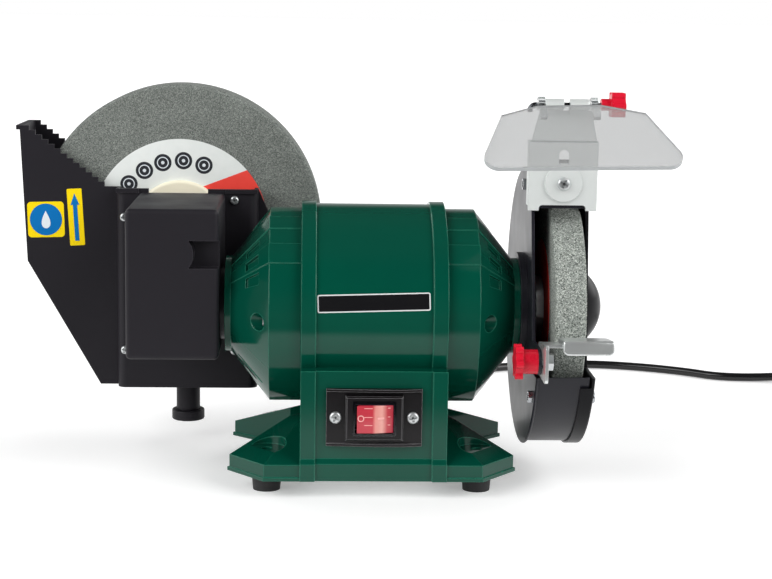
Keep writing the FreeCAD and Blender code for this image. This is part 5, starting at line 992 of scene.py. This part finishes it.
# Its border, and for border and print their corners and how far they go in and stand out
PLATE_BORDER, PLATE_STEPS = 0.8, 16
PLATE_CORNERS, PLATE_LEVELS = (1.2, 0.6), ((-0.3, 0.25), (0.1, 0.34))


def barrel_plate(shape, width, height, corner, levels, finish):
    """A plate bent round the barrel's front, with round corners, between two heights above it."""
    c, s = math.cos(math.radians(PLATE_TILT)), math.sin(math.radians(PLATE_TILT))
    rings = []
    for step in range(PLATE_STEPS + 1):
        v = -height / 2 * math.cos(math.pi * step / PLATE_STEPS)
        past = max(0.0, abs(v) - (height / 2 - corner))
        half = width / 2 - corner + math.sqrt(max(0.0, corner**2 - past**2))
        ring = []
        for u, level in ((-half, levels[0]), (half, levels[0]), (half, levels[1]), (-half, levels[1])):
            r = BARREL_R + level
            angle = math.radians(PLATE_ABOVE) + (v * c + u * s) / BARREL_R
            x = PLATE_CENTRE + u * c - v * s
            ring.append((x, -r * math.cos(angle), MOTOR_Z + r * math.sin(angle)))
        rings.append(ring)
    loft(shape, rings, finish)


def make_barrel_plate():
    """A plain black plate inside a thin pale border."""
    inside = [size - 2 * PLATE_BORDER for size in PLATE_SIZE]
    shape = bmesh.new()
    for finish, size in enumerate((PLATE_SIZE, inside)):
        barrel_plate(shape, *size, PLATE_CORNERS[finish], PLATE_LEVELS[finish], finish)
    mesh = finished("barrel_plate", shape)
    piece("barrel_plate", mesh, [silver_border, black_print], "base")


# The rocker seen from above: a flat half, a half that slopes back from the ridge, and its back
ROCKER_Z, ROCKER_HALF, ROCKER_EDGE = 53.7, 8.9, 0.45
ROCKER_FACE, ROCKER_RIDGE, ROCKER_TIP = -82.0, 0.585, (12.15, -79.6)
ROCKER_OUTLINE = [(-11.25, ROCKER_FACE), (ROCKER_RIDGE, ROCKER_FACE), ROCKER_TIP]
ROCKER_OUTLINE += [(9.85, -75.7), (0.2, -74.2), (-9.0, -77.5)]
ROCKER_SLOPE = (ROCKER_TIP[1] - ROCKER_FACE) / (ROCKER_TIP[0] - ROCKER_RIDGE)
PRINT_PROUD, PRINT_ROOT = 0.12, 0.1
# Its marks: a ring (place, outer and inner radius), a bar, and ribs in two columns at three heights
RING_AT, RING_RADII, BAR_AT, BAR_SIZE = (-8.6, 0.76), (2.1, 1.5), (4.1, 0.8), (4.2, 1.2, 0.5)
RIB_COLUMNS, RIB_RISES, RIB_HEIGHT, RIB_CORNER = ((-3.9, 5.2), (9.2, 1.7)), (7.3, 1.6, -3.6), 0.4, 0.19


def rocker_front(x):
    """Where the rocker's front is at a place across it: flat on the pressed half, then sloping."""
    return ROCKER_FACE + max(0.0, x - ROCKER_RIDGE) * ROCKER_SLOPE


def rocker_print(shape, outline, inner=None):
    """A thin print on the rocker's front, or a ring of it between two outlines."""
    rows = [(outline, PRINT_ROOT), (outline, -PRINT_PROUD)]
    if inner:
        rows += [(inner, -PRINT_PROUD), (inner, PRINT_ROOT)]
    rings = [[(x, rocker_front(x) + back, ROCKER_Z + z) for x, z in row] for row, back in rows]
    loft(shape, rings, 1, closed=bool(inner))


def moved(outline, x, z):
    """An outline about another middle."""
    return [(x + u, z + v) for u, v in outline]


def make_rocker():
    """A moulded rocker with round edges, a ring and a bar for its two states, and faint ribs."""
    shape = bmesh.new()
    loft(shape, [[(x, y, ROCKER_Z + side * ROCKER_HALF) for x, y in ROCKER_OUTLINE] for side in (-1, 1)])
    bmesh.ops.bevel(
        shape, geom=shape.edges[:], offset=ROCKER_EDGE * MM, segments=3, profile=0.5, affect="EDGES",
        clamp_overlap=True,
    )
    rocker_print(shape, *(moved(circle(r, 28), *RING_AT) for r in RING_RADII))
    rocker_print(shape, moved(rounded_box(*BAR_SIZE), *BAR_AT))
    for rise in RIB_RISES:
        for x, width in RIB_COLUMNS:
            rocker_print(shape, moved(rounded_box(width, RIB_HEIGHT, RIB_CORNER, 3), x, rise))
    mesh = finished("rocker_key", shape)
    piece("rocker_key", mesh, [rocker_red, pink_print], "rocker", ("switch_rocker",))


def plain_copy(name):
    """A CAD node's faces without their stored normals, as a shape to work on."""
    source = NODES[name].data
    shape = bmesh.new()
    corners = [shape.verts.new(corner.co) for corner in source.vertices]
    for side in source.polygons:
        shape.faces.new([corners[i] for i in side.vertices])
    shape.normal_update()
    return shape


# Faces that lean further from the sheet's own than this cosine are its edges
SHEET_COSINE, SHIELD_CREASE = 0.9, 20


def make_shield():
    """The clear sheet, with its sawn edges frosted."""
    plain = plain_copy("eye_shield")
    flat = max(plain.faces, key=lambda face: face.calc_area()).normal.copy()
    for face in plain.faces:
        face.material_index = int(abs(face.normal.dot(flat)) < SHEET_COSINE)
    mesh = finished("clear_shield", plain, SHIELD_CREASE)
    piece("clear_shield", mesh, [polycarbonate, frosted_edge], "shield", ("eye_shield",))


# Faces within this many degrees are one, and edges that turn by more than the second are rims
FLAT_TURN, RIM_TURN = 2, 40


def make_tumbled(name, source, rim):
    """A node of the tool rest with the round rims of tumbled sheet metal, which catch the light."""
    shape = plain_copy(source)
    bmesh.ops.remove_doubles(shape, verts=shape.verts, dist=1e-6)
    flat = math.radians(FLAT_TURN)
    bmesh.ops.dissolve_limit(shape, angle_limit=flat, verts=shape.verts, edges=shape.edges)
    rims = [edge for edge in shape.edges if edge.calc_face_angle(0.0) > math.radians(RIM_TURN)]
    bmesh.ops.bevel(
        shape, geom=rims, offset=rim * MM, segments=4, profile=0.5, affect="EDGES", clamp_overlap=True
    )
    bmesh.ops.triangulate(shape, faces=[face for face in shape.faces if len(face.verts) > 4])
    piece(name, finished(name, shape), [polished_zinc], "tool_rest", (source,))


SPARK_SCREW_PLACE = (119.2, -55.2, 202.0)
# The washer's section: radius, and how far back from its front
WASHER_PROFILE = [(11.7, 0.0), (12.0, 0.25), (12.0, 1.5), (3.1, 1.5), (3.1, 0.0)]
WASHER_CREASE = 15


def make_spark_washer():
    """The wide washer under the arrester's screw, of the same plate as the arrester."""
    x, front, z = SPARK_SCREW_PLACE
    rings = [[(x + u, front + back, z + v) for u, v in circle(r, 48)] for r, back in WASHER_PROFILE]
    shape = bmesh.new()
    loft(shape, rings, closed=True)
    piece("spark_washer", finished("spark_washer", shape, WASHER_CREASE), [zinc], "base")


# The fold's ends across, its height, its half width, and how far it stands out and goes in
FOLD_X, FOLD_Z, ARRESTER_FRONT = (97.6, 140.4), 227.6, -53.6
FOLD_HALF, FOLD_RISE, FOLD_ROOT, FOLD_STEPS = 0.55, 0.3, 0.2, 8
# Both ends taper to a share of its size
FOLD_TAPER, FOLD_END = 0.6, 0.3


def make_arrester_fold():
    """The pressed line across the arrester where its arm begins: a low round ridge."""
    left, right = FOLD_X
    inner = ((left + FOLD_TAPER, 1.0), (right - FOLD_TAPER, 1.0))
    rings = []
    for x, grow in ((left, FOLD_END), *inner, (right, FOLD_END)):
        half, rise = FOLD_HALF * grow, FOLD_RISE * grow
        turns = [math.pi * step / FOLD_STEPS for step in range(FOLD_STEPS + 1)]
        ring = [(x, ARRESTER_FRONT - rise * math.sin(a), FOLD_Z + half * math.cos(a)) for a in turns]
        ring += [(x, ARRESTER_FRONT + FOLD_ROOT, FOLD_Z + side * half) for side in (-1, 1)]
        rings.append(ring)
    shape = bmesh.new()
    loft(shape, rings)
    # The ridge's greyer finish is painted shade along the fold
    piece("arrester_fold", finished("arrester_fold", shape), [zinc_fold_shade], "arrester")


make_stickers()
make_barrel_plate()
make_rocker()
make_shield()
make_tumbled("rounded_rest", "tool_rest", 1.1)
make_tumbled("rounded_bracket", "tool_rest_bracket", 0.7)
make_spark_washer()
make_arrester_fold()
make_screws("spark_clamp_screw", "spark_screw", [SPARK_SCREW_PLACE], FRONTWARD, SPARK_HEAD, (3.0, 9.2))


# Floor and light

FLOOR_HALF, FLOOR_LIFT = 30.0, 0.3
TABLE_FRONT, TABLE_SOFTNESS = -0.3, 0.04
LAMP_SPREAD, LAMP_DISTANCE = 45, 2
# Each lamp's strength and the way to it from the object
LAMPS = {
    "front_left_lamp": (1.95, (-0.72, -0.55, 0.48)),
    "front_right_lamp": (1.8, (0.74, -0.52, 0.46)),
    "back_left_lamp": (1.0, (-0.7, 0.55, 0.5)),
    "back_right_lamp": (1.0, (0.7, 0.55, 0.5)),
}
# Where the studio's light changes along each direction, and from which strength to which
STUDIO_FADES = {
    "walls": ((0.3, 0.8), (0.14, 0.42)),
    "camera_side": ((-0.75, -0.25), (0.08, 1.0)),
    "ceiling": ((0.15, 0.5), (1.0, 0.08)),
    "far_end": ((0.45, 0.9), (1.0, 0.5)),
}


def seen_rays(tree):
    """The kinds of ray, and whether one comes from the camera, straight or through a clear piece."""
    rays = node(tree, "ShaderNodeLightPath")
    kinds = {0: rays["Is Camera Ray"], 1: rays["Is Transmission Ray"]}
    return rays, node(tree, "ShaderNodeMath", kinds, operation="MAXIMUM")[0]


def make_stage():
    """A pale floor, which is white to the camera and in reflections up to the table's front."""
    corners = [(x * FLOOR_HALF, y * FLOOR_HALF, 0) for x, y in ((-1, -1), (1, -1), (1, 1), (-1, 1))]
    mesh = bpy.data.meshes.new("floor")
    mesh.from_pydata(corners, [], [(0, 1, 2, 3)])
    floor = bpy.data.objects.new("floor", mesh)
    bpy.context.scene.collection.objects.link(floor)
    material, tree, place = new_material("pale_floor")
    rays, seen = seen_rays(tree)
    glossy = rays["Is Glossy Ray"]
    seen = node(tree, "ShaderNodeMath", {0: seen, 1: glossy}, operation="MAXIMUM")[0]
    lift = node(tree, "ShaderNodeMath", {0: seen, 1: FLOOR_LIFT}, operation="MULTIPLY")[0]
    # Past the front of the table the studio is dark, which shows in reflections only
    edge = {
        "Value": node(tree, "ShaderNodeSeparateXYZ", {0: place})["Y"],
        "From Min": TABLE_FRONT - TABLE_SOFTNESS,
        "From Max": TABLE_FRONT + TABLE_SOFTNESS,
        "To Min": 1.0,
        "To Max": 0.0,
    }
    front = node(tree, "ShaderNodeMapRange", edge)[0]
    past = node(tree, "ShaderNodeMath", {0: front, 1: glossy}, operation="MULTIPLY")[0]
    tones = {0: past, 6: linear("#F2F2F2"), 7: linear("#3A3A3A")}
    tone = node(tree, "ShaderNodeMix", tones, data_type="RGBA")[2]
    lift = node(tree, "ShaderNodeMix", {0: past, 2: lift, 3: 0.0})[0]
    surface = node(
        tree, "ShaderNodeBsdfPrincipled",
        {"Base Color": tone, "Roughness": 0.9, "Emission Color": (1, 1, 1, 1), "Emission Strength": lift},
    )[0]
    node(tree, "ShaderNodeOutputMaterial", {"Surface": surface})
    mesh.materials.append(material)


def make_light():
    """A white studio, whose walls light the object, and four soft lamps round it. Reflections show
    a white surrounding that dims towards the camera's side, the ceiling and the far end."""
    world = bpy.data.worlds.new("studio")
    bpy.context.scene.world = world
    world.use_nodes = True
    tree = world.node_tree
    tree.nodes.clear()
    way = node(tree, "ShaderNodeTexCoord")["Generated"]
    axes = node(tree, "ShaderNodeSeparateXYZ", {0: way})
    across = node(tree, "ShaderNodeMath", {0: axes["X"]}, operation="ABSOLUTE")[0]
    values = {"walls": across, "camera_side": axes["Y"], "ceiling": axes["Z"], "far_end": axes["Y"]}
    fades = {}
    for name, (span, strengths) in STUDIO_FADES.items():
        limits = {
            "From Min": span[0], "From Max": span[1], "To Min": strengths[0], "To Max": strengths[1]
        }
        limits["Value"] = values[name]
        fades[name] = node(tree, "ShaderNodeMapRange", limits, interpolation_type="SMOOTHSTEP")[0]
    mirrored = fades["camera_side"]
    for name in ("ceiling", "far_end"):
        mirrored = node(tree, "ShaderNodeMath", {0: mirrored, 1: fades[name]}, operation="MULTIPLY")[0]
    rays, seen = seen_rays(tree)
    unseen = {0: rays["Is Glossy Ray"], 2: fades["walls"], 3: mirrored}
    unseen = node(tree, "ShaderNodeMix", unseen)[0]
    strength = node(tree, "ShaderNodeMix", {0: seen, 2: unseen, 3: 1.0})[0]
    shine = node(tree, "ShaderNodeBackground", {"Color": (1, 1, 1, 1), "Strength": strength})[0]
    node(tree, "ShaderNodeOutputWorld", {"Surface": shine})
    for name, (energy, way) in LAMPS.items():
        data = bpy.data.lights.new(name, "SUN")
        data.energy = energy
        data.angle = math.radians(LAMP_SPREAD)
        lamp = bpy.data.objects.new(name, data)
        lamp.rotation_euler = Vector(way).to_track_quat("Z", "Y").to_euler()
        lamp.location = Vector(way) * LAMP_DISTANCE
        bpy.context.scene.collection.objects.link(lamp)


make_stage()
make_light()
bpy.context.scene.view_settings.view_transform = "Standard"
